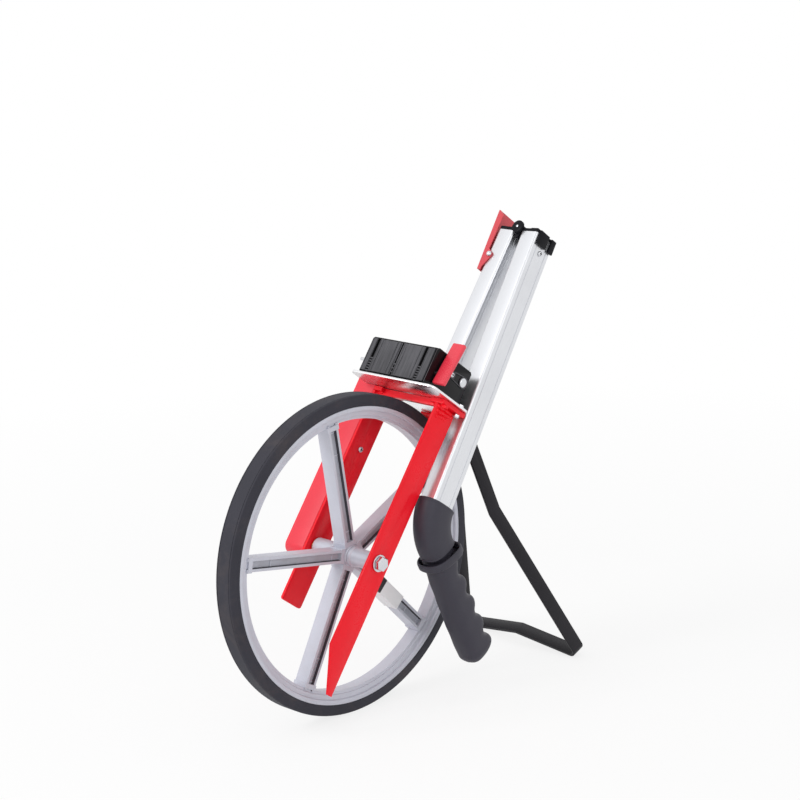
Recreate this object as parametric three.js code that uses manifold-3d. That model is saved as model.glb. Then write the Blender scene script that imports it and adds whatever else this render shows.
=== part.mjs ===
// Measuring wheel: a one metre road wheel between two fork arms, a belt driven counter on the deck above it,
// a handle that folds down beside the fork, and a kickstand behind.
// Millimetres, +Z up. The origin is on the ground under the axle, and the axle lies along Y.
// The fork has a frame of its own at the axle, leaning back: x rearward across an arm, y along the axle,
// z up along the arms. The handle has one at its hinge: z runs from the hinge towards the grip.

import * as THREE from 'three';
import { mergeVertices } from 'three/addons/utils/BufferGeometryUtils.js';
import Module from 'manifold-3d';

const wasm = await Module();
wasm.setup();

// Clearances
const seatGap = 0.3;
const runGap = 0.4;
const overrun = 2;

// Wheel
const wheelCircumference = 1000;
const wheelFacets = 60;
const tyreTreadWidth = 20.2;
const tyreWidth = 22.2;
const tyreHeight = 11.05;
const tyreShoulder = 1.2;
const keyWidth = 8;
const keyHeight = 2.2;
const rimLipHeight = 4.4;
const rimLipStep = 2.6;
const rimStepSlope = 0.8;
const rimBandHeight = 4;
const rimLedgeStep = 1.6;
const rimLedgeHeight = 3.4;
const hubRadius = 11;
const hubWidth = 20.6;
const hubFacets = 24;
const spokeCount = 5;
const spokePhase = -223.9;
const spokeWidth = 13;
const spokeDepth = 16;
const spokeGrooveWidth = 6.6;
const spokeGrooveDepth = 3.4;
const sleeveStart = 49.5;
const sleeveLength = 41;
const sleeveWall = 0.6;

// Axle
const axleRadius = 4;
const axleHeadAcross = 13;
const axleHeadHeight = 5;
const washerRadius = 8.5;
const washerThickness = 1.3;
const nutAcross = 13;
const nutThickness = 5;
const axleEnd = 1;
const bushWall = 1.8;
const bushFlange = 2;
const bushFlangeThickness = 1;
const spacerRadius = 9;
const roundFacets = 18;
const smallFacets = 10;
const hexSides = 6;

// Fork
const lean = 36.96;
const armSpacing = 83.4;
const armWidth = 29;
const armThickness = 3;
const nearTailFront = 91;
const nearTailRear = 134.5;
const nearTailTip = 5.5;
const farTail = 63;
const farTailCorner = 3;
const tyreClearance = 4.9;
const crownBarHeight = 6.9;
const crownBarWidth = 4;
const crownPlateThickness = 4.4;
const crownFrontSetback = 4.5;
const crownRearOverhang = 5.5;

// Deck
const deckThickness = 2.2;
const deckSideOverhang = 5;
const deckFrontOverhang = 29.2;
const deckCorner = 8;
const deckTongueWidth = 60;
const deckTongueSetback = 4;
const deckBoltRadius = 2;
const deckNutAcross = 7;
const deckNutHeight = 3.2;
const deckBoltOffset = 4.2;
const deckBoltEdge = 3.6;
const deckBoltFromRear = 8;

// Belt drive and its cover
const pulleyRadius = 8.6;
const pulleyFlange = 1.5;
const pulleyFlangeThickness = 1.2;
const beltWidth = 9;
const beltThickness = 1.7;
const pulleyHubRadius = 6.4;
const pulleyStandoff = 5.4;
const coverWall = 1.5;
const coverBottom = 15;
const coverCorner = 9.5;
const coverTopRoom = 1.8;
const coverBossRadius = 3.2;
const coverScrewRadius = 1.5;
const coverScrewHead = 3;
const coverScrewHeadHeight = 1.7;
const coverScrewLength = 9;
const coverScrewLow = 106.5;
const coverScrewSpan = 46;

// Counter
const caseInset = 0.2;
const caseHeight = 38.3;
const caseFront = 29.5;
const caseWall = 2.3;
const caseChamfer = 2;
const sideCoverThickness = 1.5;
const backPanelThickness = 1.8;
const slotWidth = 2.6;
const slotDepth = 1.1;
const slotShares = [0.39, 0.02, -0.35];
const counterRise = 21.3;
const drumRadius = 11.3;
const drumWidth = 10.4;
const drumPitch = 11.6;
const drumCount = 5;
const drumLead = 24;
const drumShaftRadius = 2.5;
const inputShaftRadius = 3;
const windowLength = 64;
const windowWidth = 13;
const windowThickness = 1.6;
const windowRim = 1.2;

// Reset lever
const resetShaftRadius = 1.7;
const resetForward = 32;
const resetRise = 16.3;
const resetStub = 16.5;
const leverWidth = 16.2;
const leverThickness = 5;
const leverBelow = 12;
const leverAbove = 34.7;
const leverCorner = 1.6;
const leverBack = 4.1;
const leverStandoff = 1.2;

// Handle tubes and their bracket
const tubeDepth = 30.3;
const tubeWidth = 20.5;
const tubeWall = 1.6;
const tubeCorner = 2.6;
const tubeGrooveWidth = 1.4;
const tubeGrooveDepth = 0.5;
const tubeGrooveInset = 6.2;
const elbowWall = 5.8;
const elbowClearance = 1.4;
const lowerTubeLength = 196;
const bracketWall = 3.7;
const bracketFront = 4.7;
const bracketRear = 2.8;
const bracketHeight = 49;
const bracketFloor = 4.5;
const bracketChamfer = 5;
const bracketBoltRadius = 3;
const bracketBoltHead = 4.6;
const bracketBoltHeadHeight = 1.8;
const bracketBoltSetback = 18.6;
const bracketBoltDrop = 12;
const bracketScrewRadius = 1.2;
const bracketScrewHead = 2.2;
const bracketScrewSetback = 5;

// Fold hinge and catch
const hingeRise = 3.8;
const hingeSpread = 4.85;
const splay = 3.53;
const hingePinRadius = 2.2;
const hingePinHead = 6.8;
const hingePinHeadHeight = 3;
const hingePinProud = 3.6;
const knuckleShare = 0.36;
const plugLength = 16;
const tongueWidth = 9;
const tongueLength = 18;
const tongueHeight = 3.6;
const pocketRoom = 0.9;
const lugThickness = 2.4;
const lugReach = 14.8;
const lugShares = [[0.11, 0.6], [0.77, 1]];
const catchScrewRadius = 1.4;
const catchScrewHead = 2.8;
const catchScrewHeadHeight = 1.5;
const catchScrewDrop = 21;
const upperTubeLength = 295.8;

// Elbow and grip
const elbowTurn = 62.2;
const elbowRadius = 41.5;
const elbowEndWidth = 36.8;
const elbowThickness = 29;
const elbowPlug = 24;
const elbowSteps = 8;
const ringPoints = 20;
const spigotRadius = 5.5;
const spigotLength = 22;
const flangeRadius = 22.2;
const flangeThickness = 30;
const flangeLength = 11;
const flangeRise = 3.3;
const flangeBack = 2;
const flangeShares = [[0, 0.84], [0.12, 0.97], [0.3, 1], [0.7, 1], [0.88, 0.95], [1, 0.82]];
const gripLength = 128.5;
const gripThickness = 28.5;
const gripFront = 9.2;
const gripBack = 25.6;
const gripRidge = 3.1;
const gripRidgeCount = 5;
const gripTaper = 8.2;
const gripEnd = 13;
const gripEndShare = 0.93;
const gripSteps = 26;

// Latch lever on the lower tube
const latchDrop = 33.8;
const latchPivotInset = 3.5;
const latchPinRadius = 2;
const latchPinProud = 3;
const latchPinHead = 2.9;
const latchSheet = 1.4;
const latchHeight = 68;
const latchTail = 18;
const latchStandoff = 3;
const latchLean = 4.2;
const latchTopShare = 0.8;
const latchEar = 3.1;
const latchTopDrop = 5;
const latchFlange = 3;

// Kickstand
const kickAngle = 22.76;
const kickWidth = 15;
const kickThickness = 3;
const kickPinRadius = 3;
const kickPinHead = 5.5;
const kickPinHeadHeight = 2.5;
const kickPinSetback = 6.4;
const kickPinDrop = 4.7;
const kickBracketWidth = 46;
const kickBracketThickness = 2.2;
const kickEarThickness = 3;
const kickEarLength = 20;
const kickEarDepth = 9;
const kickKneeShare = 0.367;
const kickKneeSpread = 25.7;
const kickFootSpread = 79.1;
const kickFootCorner = 6;
const kickFootRise = 10.5;
const kickCornerSteps = 6;

// Sizes that follow
const wheelRadius = wheelCircumference / (2 * Math.PI);
const facetHalfTurn = Math.PI / wheelFacets;
const armInner = armSpacing / 2;
const armOuter = armInner + armThickness;
const armHalf = armWidth / 2;
const crownBottom = wheelRadius + tyreClearance;
const crownTop = crownBottom + crownBarHeight;
const deckBottom = crownTop + seatGap;
const deckTop = deckBottom + deckThickness;
const crownPlateBottom = crownTop - crownPlateThickness;
const armTop = crownPlateBottom - seatGap;
const crownReach = deckBoltOffset + deckBoltEdge;
const crownOuter = armOuter + crownReach;
const deckWidth = 2 * (crownOuter + deckSideOverhang);
const deckRear = armHalf + crownRearOverhang;
const tubeFront = armHalf + elbowClearance + elbowWall;
const tubeRear = tubeFront + tubeDepth;
const tubeMiddle = (tubeFront + tubeRear) / 2;
const tubeHalf = tubeWidth / 2;
const caseBottom = deckTop + seatGap;
const caseTop = caseBottom + caseHeight;
const caseWidth = 2 * (armOuter - caseInset);
const caseHalf = caseWidth / 2;
const caseRear = drumRadius + runGap + backPanelThickness;
const caseFace = -armHalf - caseFront;
const counterHeight = caseBottom + counterRise;
const resetHeight = caseBottom + resetRise;
const lowerTubeBottom = caseBottom + bracketFloor;
const lowerTubeTop = lowerTubeBottom + lowerTubeLength;
const hingeHeight = lowerTubeTop + hingeRise;
const hingeOffset = tubeHalf + hingeSpread;
const knuckleRadius = hingeSpread - runGap;
const bushRadius = axleRadius + runGap + bushWall;
const pulleyStart = armOuter + pulleyStandoff;
const pulleyEnd = pulleyStart + beltWidth + 2 * (pulleyFlangeThickness + seatGap);
const beltStart = pulleyStart + pulleyFlangeThickness + seatGap;
const beltInner = pulleyRadius + seatGap;
const beltOuter = beltInner + beltThickness;
const coverStart = armOuter + seatGap;
const nutFace = pulleyEnd + seatGap;
const axleTip = nutFace + nutThickness + axleEnd;
const coverEnd = axleTip + runGap + coverWall;
const coverTop = counterHeight + beltOuter + coverTopRoom + coverWall;
const radians = Math.PI / 180;

// Finishes
function finish(color, roughness, metalness) {
  return new THREE.MeshStandardMaterial({ color, roughness, metalness, flatShading: true });
}
const redPaint = () => finish(0xd8202c, 0.3, 0.1);
const greyPlastic = () => finish(0xa6a7b2, 0.5, 0);
const blackPlastic = () => finish(0x2c2b30, 0.5, 0);
const glossBlack = () => finish(0x17171a, 0.15, 0);
const rubber = () => finish(0x3f3e45, 0.85, 0);
const zincSteel = () => finish(0xd2d4d8, 0.3, 0.9);
const aluminium = () => finish(0xcfd0d6, 0.3, 0.9);
const brass = () => finish(0xb08d4a, 0.35, 0.9);
const whiteSheet = () => finish(0xf2f2f2, 0.5, 0);
const clearPlastic = () => finish(0xdfe6ea, 0.05, 0);

// Mesh tools
function outward(geometry) {
  const place = geometry.attributes.position;
  const index = geometry.index.array;
  const corners = [new THREE.Vector3(), new THREE.Vector3(), new THREE.Vector3()];
  let volume = 0;
  for (let i = 0; i < index.length; i += 3) {
    corners.forEach((corner, k) => corner.fromBufferAttribute(place, index[i + k]));
    volume += corners[0].dot(corners[1].clone().cross(corners[2]));
  }
  if (volume < 0) {
    for (let i = 0; i < index.length; i += 3) {
      [index[i], index[i + 1]] = [index[i + 1], index[i]];
    }
  }
  return geometry;
}

function closed(geometry) {
  geometry.deleteAttribute('normal');
  geometry.deleteAttribute('uv');
  return outward(mergeVertices(geometry, seatGap / 1000));
}

function toSolid(geometry) {
  const vertProperties = Float32Array.from(geometry.attributes.position.array);
  const triVerts = Uint32Array.from(geometry.index.array);
  return new wasm.Manifold(new wasm.Mesh({ numProp: 3, vertProperties, triVerts }));
}

function toGeometry(solid) {
  const { vertProperties, triVerts } = solid.getMesh();
  const geometry = new THREE.BufferGeometry();
  geometry.setAttribute('position', new THREE.BufferAttribute(vertProperties, 3));
  geometry.setIndex(new THREE.BufferAttribute(triVerts, 1));
  return geometry;
}

function cut(body, ...tools) {
  return toGeometry(tools.reduce((solid, tool) => solid.subtract(toSolid(tool)), toSolid(body)));
}

function join(body, ...others) {
  return toGeometry(others.reduce((solid, other) => solid.add(toSolid(other)), toSolid(body)));
}

function keep(body, other) {
  return toGeometry(toSolid(body).intersect(toSolid(other)));
}

function moved(geometry, x, y, z) {
  return geometry.clone().translate(x, y, z);
}

// Outlines
function outline(points) {
  return new THREE.Shape(points.map(([x, y]) => new THREE.Vector2(x, y)));
}

function rounded(x0, y0, x1, y1, radius) {
  const shape = new THREE.Shape();
  shape.moveTo(x0 + radius, y0);
  shape.lineTo(x1 - radius, y0);
  shape.absarc(x1 - radius, y0 + radius, radius, -Math.PI / 2, 0);
  shape.lineTo(x1, y1 - radius);
  shape.absarc(x1 - radius, y1 - radius, radius, 0, Math.PI / 2);
  shape.lineTo(x0 + radius, y1);
  shape.absarc(x0 + radius, y1 - radius, radius, Math.PI / 2, Math.PI);
  shape.lineTo(x0, y0 + radius);
  shape.absarc(x0 + radius, y0 + radius, radius, Math.PI, Math.PI * 1.5);
  return shape;
}

function stadium(z0, z1, radius) {
  const shape = new THREE.Shape();
  shape.absarc(0, z1, radius, 0, Math.PI);
  shape.absarc(0, z0, radius, Math.PI, 2 * Math.PI);
  return shape;
}

// Prisms: the outline lies in the plane named, and the depth runs along the third axis
const arcSteps = 6;

function prism(shape, depth, steps) {
  return new THREE.ExtrudeGeometry(shape, { depth, bevelEnabled: false, curveSegments: steps });
}

function alongY(shape, start, end, steps = arcSteps) {
  const toXZ = new THREE.Matrix4().set(1, 0, 0, 0, 0, 0, 1, start, 0, 1, 0, 0, 0, 0, 0, 1);
  return closed(prism(shape, end - start, steps).applyMatrix4(toXZ));
}

function alongX(shape, start, end, steps = arcSteps) {
  const toYZ = new THREE.Matrix4().set(0, 0, 1, start, 1, 0, 0, 0, 0, 1, 0, 0, 0, 0, 0, 1);
  return closed(prism(shape, end - start, steps).applyMatrix4(toYZ));
}

function alongZ(shape, start, end, steps = arcSteps) {
  return closed(prism(shape, end - start, steps).translate(0, 0, start));
}

function block(x0, x1, y0, y1, z0, z1) {
  const box = new THREE.BoxGeometry(x1 - x0, y1 - y0, z1 - z0);
  return closed(box.translate((x0 + x1) / 2, (y0 + y1) / 2, (z0 + z1) / 2));
}

// Rods: the axis runs along the axis named
function rodY(x, z, radius, start, end, facets = roundFacets) {
  const rod = new THREE.CylinderGeometry(radius, radius, end - start, facets);
  return closed(rod.translate(x, (start + end) / 2, z));
}

function rodX(y, z, radius, start, end, facets = roundFacets) {
  const rod = new THREE.CylinderGeometry(radius, radius, end - start, facets);
  return closed(rod.rotateZ(Math.PI / 2).translate((start + end) / 2, y, z));
}

function rodZ(x, y, radius, start, end, facets = roundFacets) {
  const rod = new THREE.CylinderGeometry(radius, radius, end - start, facets);
  return closed(rod.rotateX(Math.PI / 2).translate(x, y, (start + end) / 2));
}

// A hexagon prism, flats apart by the width given
const hexRadius = (across) => across / (2 * Math.cos(Math.PI / hexSides));

function hexY(across, start, end) {
  return rodY(0, 0, hexRadius(across), start, end, hexSides);
}

// A profile of [radius, y] turned about Y, closed on itself
function turned(profile, facets, phase = 0) {
  const points = [...profile, profile[0]].map(([r, y]) => new THREE.Vector2(r, y));
  return closed(new THREE.LatheGeometry(points, facets, phase));
}

// A pipe about Y
function sleeveY(inner, outer, start, end, facets = roundFacets) {
  return turned([[inner, start], [outer, start], [outer, end], [inner, end]], facets);
}

// A skin through rings of points, closed by a fan at each end
function loft(rings) {
  const count = rings[0].length;
  const positions = rings.flat().flatMap((p) => [p.x, p.y, p.z]);
  const index = [];
  for (let i = 0; i < rings.length - 1; i += 1) {
    for (let k = 0; k < count; k += 1) {
      const a = i * count + k;
      const b = i * count + ((k + 1) % count);
      index.push(a, b, b + count, a, b + count, a + count);
    }
  }
  const last = (rings.length - 1) * count;
  for (let k = 1; k < count - 1; k += 1) {
    index.push(0, k + 1, k, last, last + k, last + k + 1);
  }
  const geometry = new THREE.BufferGeometry();
  geometry.setAttribute('position', new THREE.BufferAttribute(new Float32Array(positions), 3));
  geometry.setIndex(index);
  return outward(geometry);
}

// A ring in the plane of side and the y axis, squarer than an ellipse
const squareness = 0.72;

function ring(center, side, halfSide, halfDepth) {
  const points = [];
  for (let k = 0; k < ringPoints; k += 1) {
    const turn = (2 * Math.PI * k) / ringPoints;
    const across = Math.sign(Math.cos(turn)) * Math.abs(Math.cos(turn)) ** squareness * halfSide;
    const depth = Math.sign(Math.sin(turn)) * Math.abs(Math.sin(turn)) ** squareness * halfDepth;
    points.push(center.clone().addScaledVector(side, across).add(new THREE.Vector3(0, depth, 0)));
  }
  return points;
}

// Groups
const wheel = new THREE.Group();
wheel.name = 'measuring_wheel';
const axle = new THREE.Group();
axle.position.set(0, 0, wheelRadius);
const fork = new THREE.Group();
fork.position.set(0, 0, wheelRadius);
fork.rotation.y = lean * radians;
const handle = new THREE.Group();
handle.position.set(0, -hingeOffset, hingeHeight);
handle.rotation.x = Math.PI - splay * radians;
wheel.add(axle, fork);
fork.add(handle);

function piece(group, name, geometry, material) {
  const mesh = new THREE.Mesh(geometry, material);
  mesh.name = name;
  group.add(mesh);
  return mesh;
}

// Tyre: a solid ring keyed onto the rim, with a facet flat on the ground
const tyreInner = wheelRadius - tyreHeight;
const toCorner = 1 / Math.cos(facetHalfTurn);
const tyreHalf = tyreWidth / 2;
const treadHalf = tyreTreadWidth / 2;
const keyHalf = keyWidth / 2;
const tyreProfile = [
  [tyreInner, -tyreHalf],
  [wheelRadius - tyreShoulder, -treadHalf],
  [wheelRadius, -treadHalf + tyreShoulder],
  [wheelRadius, treadHalf - tyreShoulder],
  [wheelRadius - tyreShoulder, treadHalf],
  [tyreInner, tyreHalf],
  [tyreInner, keyHalf + seatGap],
  [tyreInner + keyHeight, keyHalf + seatGap],
  [tyreInner + keyHeight, -keyHalf - seatGap],
  [tyreInner, -keyHalf - seatGap],
].map(([r, y]) => [r * toCorner, y]);
piece(axle, 'tyre', turned(tyreProfile, wheelFacets, facetHalfTurn), rubber());

// Rim, spokes and hub: one moulding
const rimOuter = tyreInner - seatGap;
const lipInner = rimOuter - rimLipHeight;
const bandOuter = lipInner - rimStepSlope;
const bandInner = bandOuter - rimBandHeight;
const rimInner = bandInner - rimLedgeHeight;
const bandHalf = tyreHalf - rimLipStep;
const ledgeHalf = bandHalf - rimLedgeStep;
const rimSide = [
  [rimOuter + keyHeight, keyHalf],
  [rimOuter, keyHalf],
  [rimOuter, tyreHalf],
  [lipInner, tyreHalf],
  [bandOuter, bandHalf],
  [bandInner, bandHalf],
  [bandInner - rimStepSlope, ledgeHalf],
  [rimInner, ledgeHalf],
];
const rimProfile = [...rimSide, ...rimSide.map(([r, y]) => [r, -y]).reverse()]
  .map(([r, y]) => [r * toCorner, y]);
const rimRing = turned(rimProfile, wheelFacets, facetHalfTurn);
const hubHalf = hubWidth / 2;
const spokeHalf = spokeWidth / 2;
const spokeFace = spokeDepth / 2;
const grooveHalf = spokeGrooveWidth / 2;
const spokeOutline = outline([
  [-spokeHalf, -spokeFace],
  [-grooveHalf, -spokeFace],
  [-grooveHalf, -spokeFace + spokeGrooveDepth],
  [grooveHalf, -spokeFace + spokeGrooveDepth],
  [grooveHalf, -spokeFace],
  [spokeHalf, -spokeFace],
  [spokeHalf, spokeFace],
  [grooveHalf, spokeFace],
  [grooveHalf, spokeFace - spokeGrooveDepth],
  [-grooveHalf, spokeFace - spokeGrooveDepth],
  [-grooveHalf, spokeFace],
  [-spokeHalf, spokeFace],
]);
const spoke = alongZ(spokeOutline, hubRadius / 2, rimInner + rimLedgeHeight / 2);
const spokeTurn = (k) => (spokePhase - (360 / spokeCount) * k) * radians;
const spokes = Array.from({ length: spokeCount }, (_, k) => spoke.clone().rotateY(spokeTurn(k)));
const hub = rodY(0, 0, hubRadius, -hubHalf, hubHalf, hubFacets);
const hubBore = rodY(0, 0, axleRadius + seatGap, -hubHalf - overrun, hubHalf + overrun);
piece(axle, 'wheel_rim', cut(join(rimRing, hub, ...spokes), hubBore), greyPlastic());

// White sleeve round the spoke that the phase is measured to
const sleeveInner = [spokeHalf + seatGap, spokeFace + seatGap];
const sleeveOuter = sleeveInner.map((half) => half + sleeveWall);
const sleeveShape = outline([
  [-sleeveOuter[0], -sleeveOuter[1]],
  [sleeveOuter[0], -sleeveOuter[1]],
  [sleeveOuter[0], sleeveOuter[1]],
  [-sleeveOuter[0], sleeveOuter[1]],
]);
sleeveShape.holes.push(new THREE.Path([
  new THREE.Vector2(-sleeveInner[0], -sleeveInner[1]),
  new THREE.Vector2(-sleeveInner[0], sleeveInner[1]),
  new THREE.Vector2(sleeveInner[0], sleeveInner[1]),
  new THREE.Vector2(sleeveInner[0], -sleeveInner[1]),
]));
const spokeSleeve = alongZ(sleeveShape, sleeveStart, sleeveStart + sleeveLength);
piece(axle, 'spoke_sleeve', spokeSleeve.rotateY(spokeTurn(0)), whiteSheet());

// Spacers between the hub and the bushes
const spacerEnd = armInner - seatGap - bushFlangeThickness - runGap;
const spacerStart = hubHalf + seatGap;
const boreRadius = axleRadius + seatGap;
piece(axle, 'near_spacer', sleeveY(boreRadius, spacerRadius, -spacerEnd, -spacerStart), greyPlastic());
piece(axle, 'far_spacer', sleeveY(boreRadius, spacerRadius, spacerStart, spacerEnd), greyPlastic());

// Axle bolt, washer and nut: they turn with the wheel
const washerFace = armOuter + runGap + washerThickness;
const headFace = washerFace + seatGap;
const axleHead = hexY(axleHeadAcross, -headFace - axleHeadHeight, -headFace);
const axleShank = rodY(0, 0, axleRadius, -headFace - seatGap, axleTip);
piece(axle, 'axle_bolt', join(axleHead, axleShank), zincSteel());
piece(axle, 'axle_washer', sleeveY(boreRadius, washerRadius, -washerFace, -armOuter - runGap), zincSteel());
const nutBore = rodY(0, 0, boreRadius, nutFace - overrun, nutFace + nutThickness + overrun);
piece(axle, 'axle_nut', cut(hexY(nutAcross, nutFace, nutFace + nutThickness), nutBore), zincSteel());

// A belt pulley on its hub, about Y
function pulley(bore, hubStart) {
  const flange = pulleyRadius + pulleyFlange;
  return turned([
    [bore, hubStart],
    [pulleyHubRadius, hubStart],
    [pulleyHubRadius, pulleyStart],
    [flange, pulleyStart],
    [flange, pulleyStart + pulleyFlangeThickness],
    [pulleyRadius, pulleyStart + pulleyFlangeThickness],
    [pulleyRadius, pulleyEnd - pulleyFlangeThickness],
    [flange, pulleyEnd - pulleyFlangeThickness],
    [flange, pulleyEnd],
    [bore, pulleyEnd],
  ], roundFacets);
}
piece(axle, 'axle_pulley', pulley(boreRadius, armOuter + runGap), blackPlastic());

// Flanged bushes, pressed into the arms from inside
function bush(side) {
  const profile = [
    [axleRadius + runGap, armInner - seatGap - bushFlangeThickness],
    [bushRadius + bushFlange, armInner - seatGap - bushFlangeThickness],
    [bushRadius + bushFlange, armInner - seatGap],
    [bushRadius, armInner - seatGap],
    [bushRadius, armOuter],
    [axleRadius + runGap, armOuter],
  ];
  return turned(profile.map(([r, y]) => [r, y * side]), roundFacets);
}
piece(fork, 'near_bush', bush(-1), brass());
piece(fork, 'far_bush', bush(1), brass());

// Fork arms: flat bars
const armBore = (y0, y1) => rodY(0, 0, bushRadius + seatGap, y0 - overrun, y1 + overrun);
const nearArm = alongY(outline([
  [-armHalf, armTop],
  [-armHalf, -nearTailFront],
  [armHalf - nearTailTip, -nearTailRear],
  [armHalf, -nearTailRear],
  [armHalf, armTop],
]), -armOuter, -armInner);
piece(fork, 'near_fork_arm', cut(nearArm, armBore(-armOuter, -armInner)), redPaint());
const farShape = rounded(-armHalf, -farTail, armHalf, armTop + farTailCorner, farTailCorner);
const farBar = keep(alongY(farShape, armInner, armOuter),
  block(-armWidth, armWidth, 0, armOuter + overrun, -farTail - overrun, armTop));
const screwHeights = [coverScrewLow, coverScrewLow + coverScrewSpan];
const screwHoles = screwHeights.map((z) =>
  rodY(0, z, coverScrewRadius + seatGap, armInner - overrun, armOuter + overrun));
piece(fork, 'far_fork_arm', cut(farBar, armBore(armInner, armOuter), ...screwHoles), redPaint());

// Crown: a frame under the deck that the arms are welded to
const crownFront = -armHalf + crownFrontSetback;
const crownPlate = (y0, y1) => block(-armHalf, deckRear, y0, y1, crownPlateBottom, crownTop);
const crownFrontBar = block(crownFront, crownFront + crownBarWidth, -crownOuter, armOuter,
  crownBottom, crownTop);
const nearBoltY = -armOuter - deckBoltOffset;
const farBoltY = armInner - deckBoltOffset;
const deckBoltX = deckRear - deckBoltFromRear;
const deckBoltHoles = [nearBoltY, farBoltY].map((y) => rodZ(deckBoltX, y, deckBoltRadius + seatGap,
  crownBottom - overrun, deckTop + overrun));
const armRelief = (side) => {
  const ends = [side * (armInner - seatGap), side * (armOuter + seatGap)].sort((a, b) => a - b);
  return block(-armHalf - overrun, armHalf + seatGap, ends[0], ends[1],
    crownBottom - overrun, crownPlateBottom);
};
const crownFrame = join(crownFrontBar, crownPlate(-crownOuter, crownReach - armInner),
  crownPlate(armInner - crownReach, armOuter));
piece(fork, 'fork_crown', cut(crownFrame, ...deckBoltHoles, armRelief(-1), armRelief(1)), redPaint());

// Deck plate with a tongue behind for the handle bracket, and a bay for the belt cover
const deckHalf = deckWidth / 2;
const tongueHalf = deckTongueWidth / 2;
const deckFront = -armHalf - deckFrontOverhang;
const tongueRear = tubeRear - deckTongueSetback;
const deckSheet = alongZ(rounded(deckFront, -deckHalf, deckRear, deckHalf, deckCorner), deckBottom, deckTop);
const deckTongue = block(deckRear - deckCorner, tongueRear, -tongueHalf, tongueHalf, deckBottom, deckTop);
const coverBay = block(-armHalf - seatGap, armHalf + seatGap, coverStart - seatGap, deckHalf + overrun,
  deckBottom - overrun, deckTop + overrun);
piece(fork, 'deck_plate', cut(join(deckSheet, deckTongue), coverBay, ...deckBoltHoles), aluminium());

// Deck bolts: head on the deck, nut under the crown
function deckBolt(y) {
  const head = rodZ(deckBoltX, y, hexRadius(deckNutAcross), deckTop + seatGap,
    deckTop + seatGap + deckNutHeight, hexSides);
  const shankEnd = crownPlateBottom - seatGap - deckNutHeight - seatGap;
  return join(head, rodZ(deckBoltX, y, deckBoltRadius, shankEnd, deckTop + 2 * seatGap, smallFacets));
}
function deckNut(y) {
  const top = crownPlateBottom - seatGap;
  const nut = rodZ(deckBoltX, y, hexRadius(deckNutAcross), top - deckNutHeight, top, hexSides);
  return cut(nut, rodZ(deckBoltX, y, deckBoltRadius + seatGap / 2, top - deckNutHeight - overrun,
    top + overrun, smallFacets));
}
piece(fork, 'deck_bolt', deckBolt(nearBoltY), zincSteel());
piece(fork, 'deck_nut', deckNut(nearBoltY), zincSteel());

// Counter bolt: up through the far side of the crown and the deck into the counter's floor
const counterBoltTop = caseBottom + caseWall;
const counterBoltHead = crownPlateBottom - seatGap;
const counterBolt = join(
  rodZ(deckBoltX, farBoltY, hexRadius(deckNutAcross), counterBoltHead - deckNutHeight,
    counterBoltHead, hexSides),
  rodZ(deckBoltX, farBoltY, deckBoltRadius, counterBoltHead - seatGap, counterBoltTop, smallFacets),
);
const counterBoltHole = rodZ(deckBoltX, farBoltY, deckBoltRadius + seatGap, caseBottom - overrun,
  counterBoltTop + overrun, smallFacets);
piece(fork, 'counter_bolt', counterBolt, zincSteel());

// Belt cover: a channel closed on its outer side, with two bosses for its screws
const coverShell = alongY(rounded(-armHalf, -coverBottom, armHalf, coverTop, coverCorner),
  coverStart, coverEnd);
const coverRoom = alongY(rounded(-armHalf + coverWall, -coverBottom + coverWall,
  armHalf - coverWall, coverTop - coverWall, coverCorner - coverWall), coverStart - overrun,
coverEnd - coverWall);
const bossEnd = coverEnd - coverWall / 2;
const bosses = screwHeights.map((z) => rodY(0, z, coverBossRadius, coverStart, bossEnd, smallFacets));
const bossHoles = screwHeights.map((z) => rodY(0, z, coverScrewRadius + seatGap / 2,
  coverStart - overrun, coverStart + coverScrewLength));
piece(fork, 'belt_cover', cut(join(cut(coverShell, coverRoom), ...bosses), ...bossHoles), redPaint());

function coverScrew(z) {
  const headEnd = armInner - seatGap;
  const head = rodY(0, z, coverScrewHead, headEnd - coverScrewHeadHeight, headEnd, smallFacets);
  return join(head, rodY(0, z, coverScrewRadius, headEnd - seatGap, coverStart + coverScrewLength - seatGap));
}
piece(fork, 'lower_cover_screw', coverScrew(screwHeights[0]), zincSteel());
piece(fork, 'upper_cover_screw', coverScrew(screwHeights[1]), zincSteel());

// Toothed belt from the axle to the counter
const beltLoop = stadium(0, counterHeight, beltOuter);
beltLoop.holes.push(stadium(0, counterHeight, beltInner));
piece(fork, 'drive_belt', alongY(beltLoop, beltStart, beltStart + beltWidth, smallFacets), rubber());

// Counter case: a box open behind, with a window over the drums and slots down its front
const nearWall = -caseHalf + sideCoverThickness + seatGap;
const caseOutline = outline([
  [caseFace, caseBottom],
  [caseRear, caseBottom],
  [caseRear, caseTop - caseChamfer],
  [caseRear - caseChamfer, caseTop],
  [caseFace + caseChamfer, caseTop],
  [caseFace, caseTop - caseChamfer],
]);
const caseBox = alongY(caseOutline, nearWall, caseHalf);
const caseRoom = block(caseFace + caseWall, caseRear + overrun, nearWall + caseWall, caseHalf - caseWall,
  caseBottom + caseWall, caseTop - caseWall);
const windowHalf = windowLength / 2;
const windowOpening = block(-windowWidth / 2 + windowRim, windowWidth / 2 - windowRim,
  -windowHalf + windowRim, windowHalf - windowRim, caseTop - caseWall - overrun, caseTop + overrun);
const windowSeat = block(-windowWidth / 2, windowWidth / 2, -windowHalf, windowHalf,
  caseTop - windowThickness, caseTop + overrun);
const slots = slotShares.map((share) => block(caseFace - overrun, caseFace + slotDepth,
  share * caseWidth - slotWidth / 2, share * caseWidth + slotWidth / 2,
  caseBottom + caseWall, caseTop - caseWall));
const inputHole = rodY(0, counterHeight, inputShaftRadius + runGap, caseHalf - caseWall - overrun,
  caseHalf + overrun);
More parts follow.
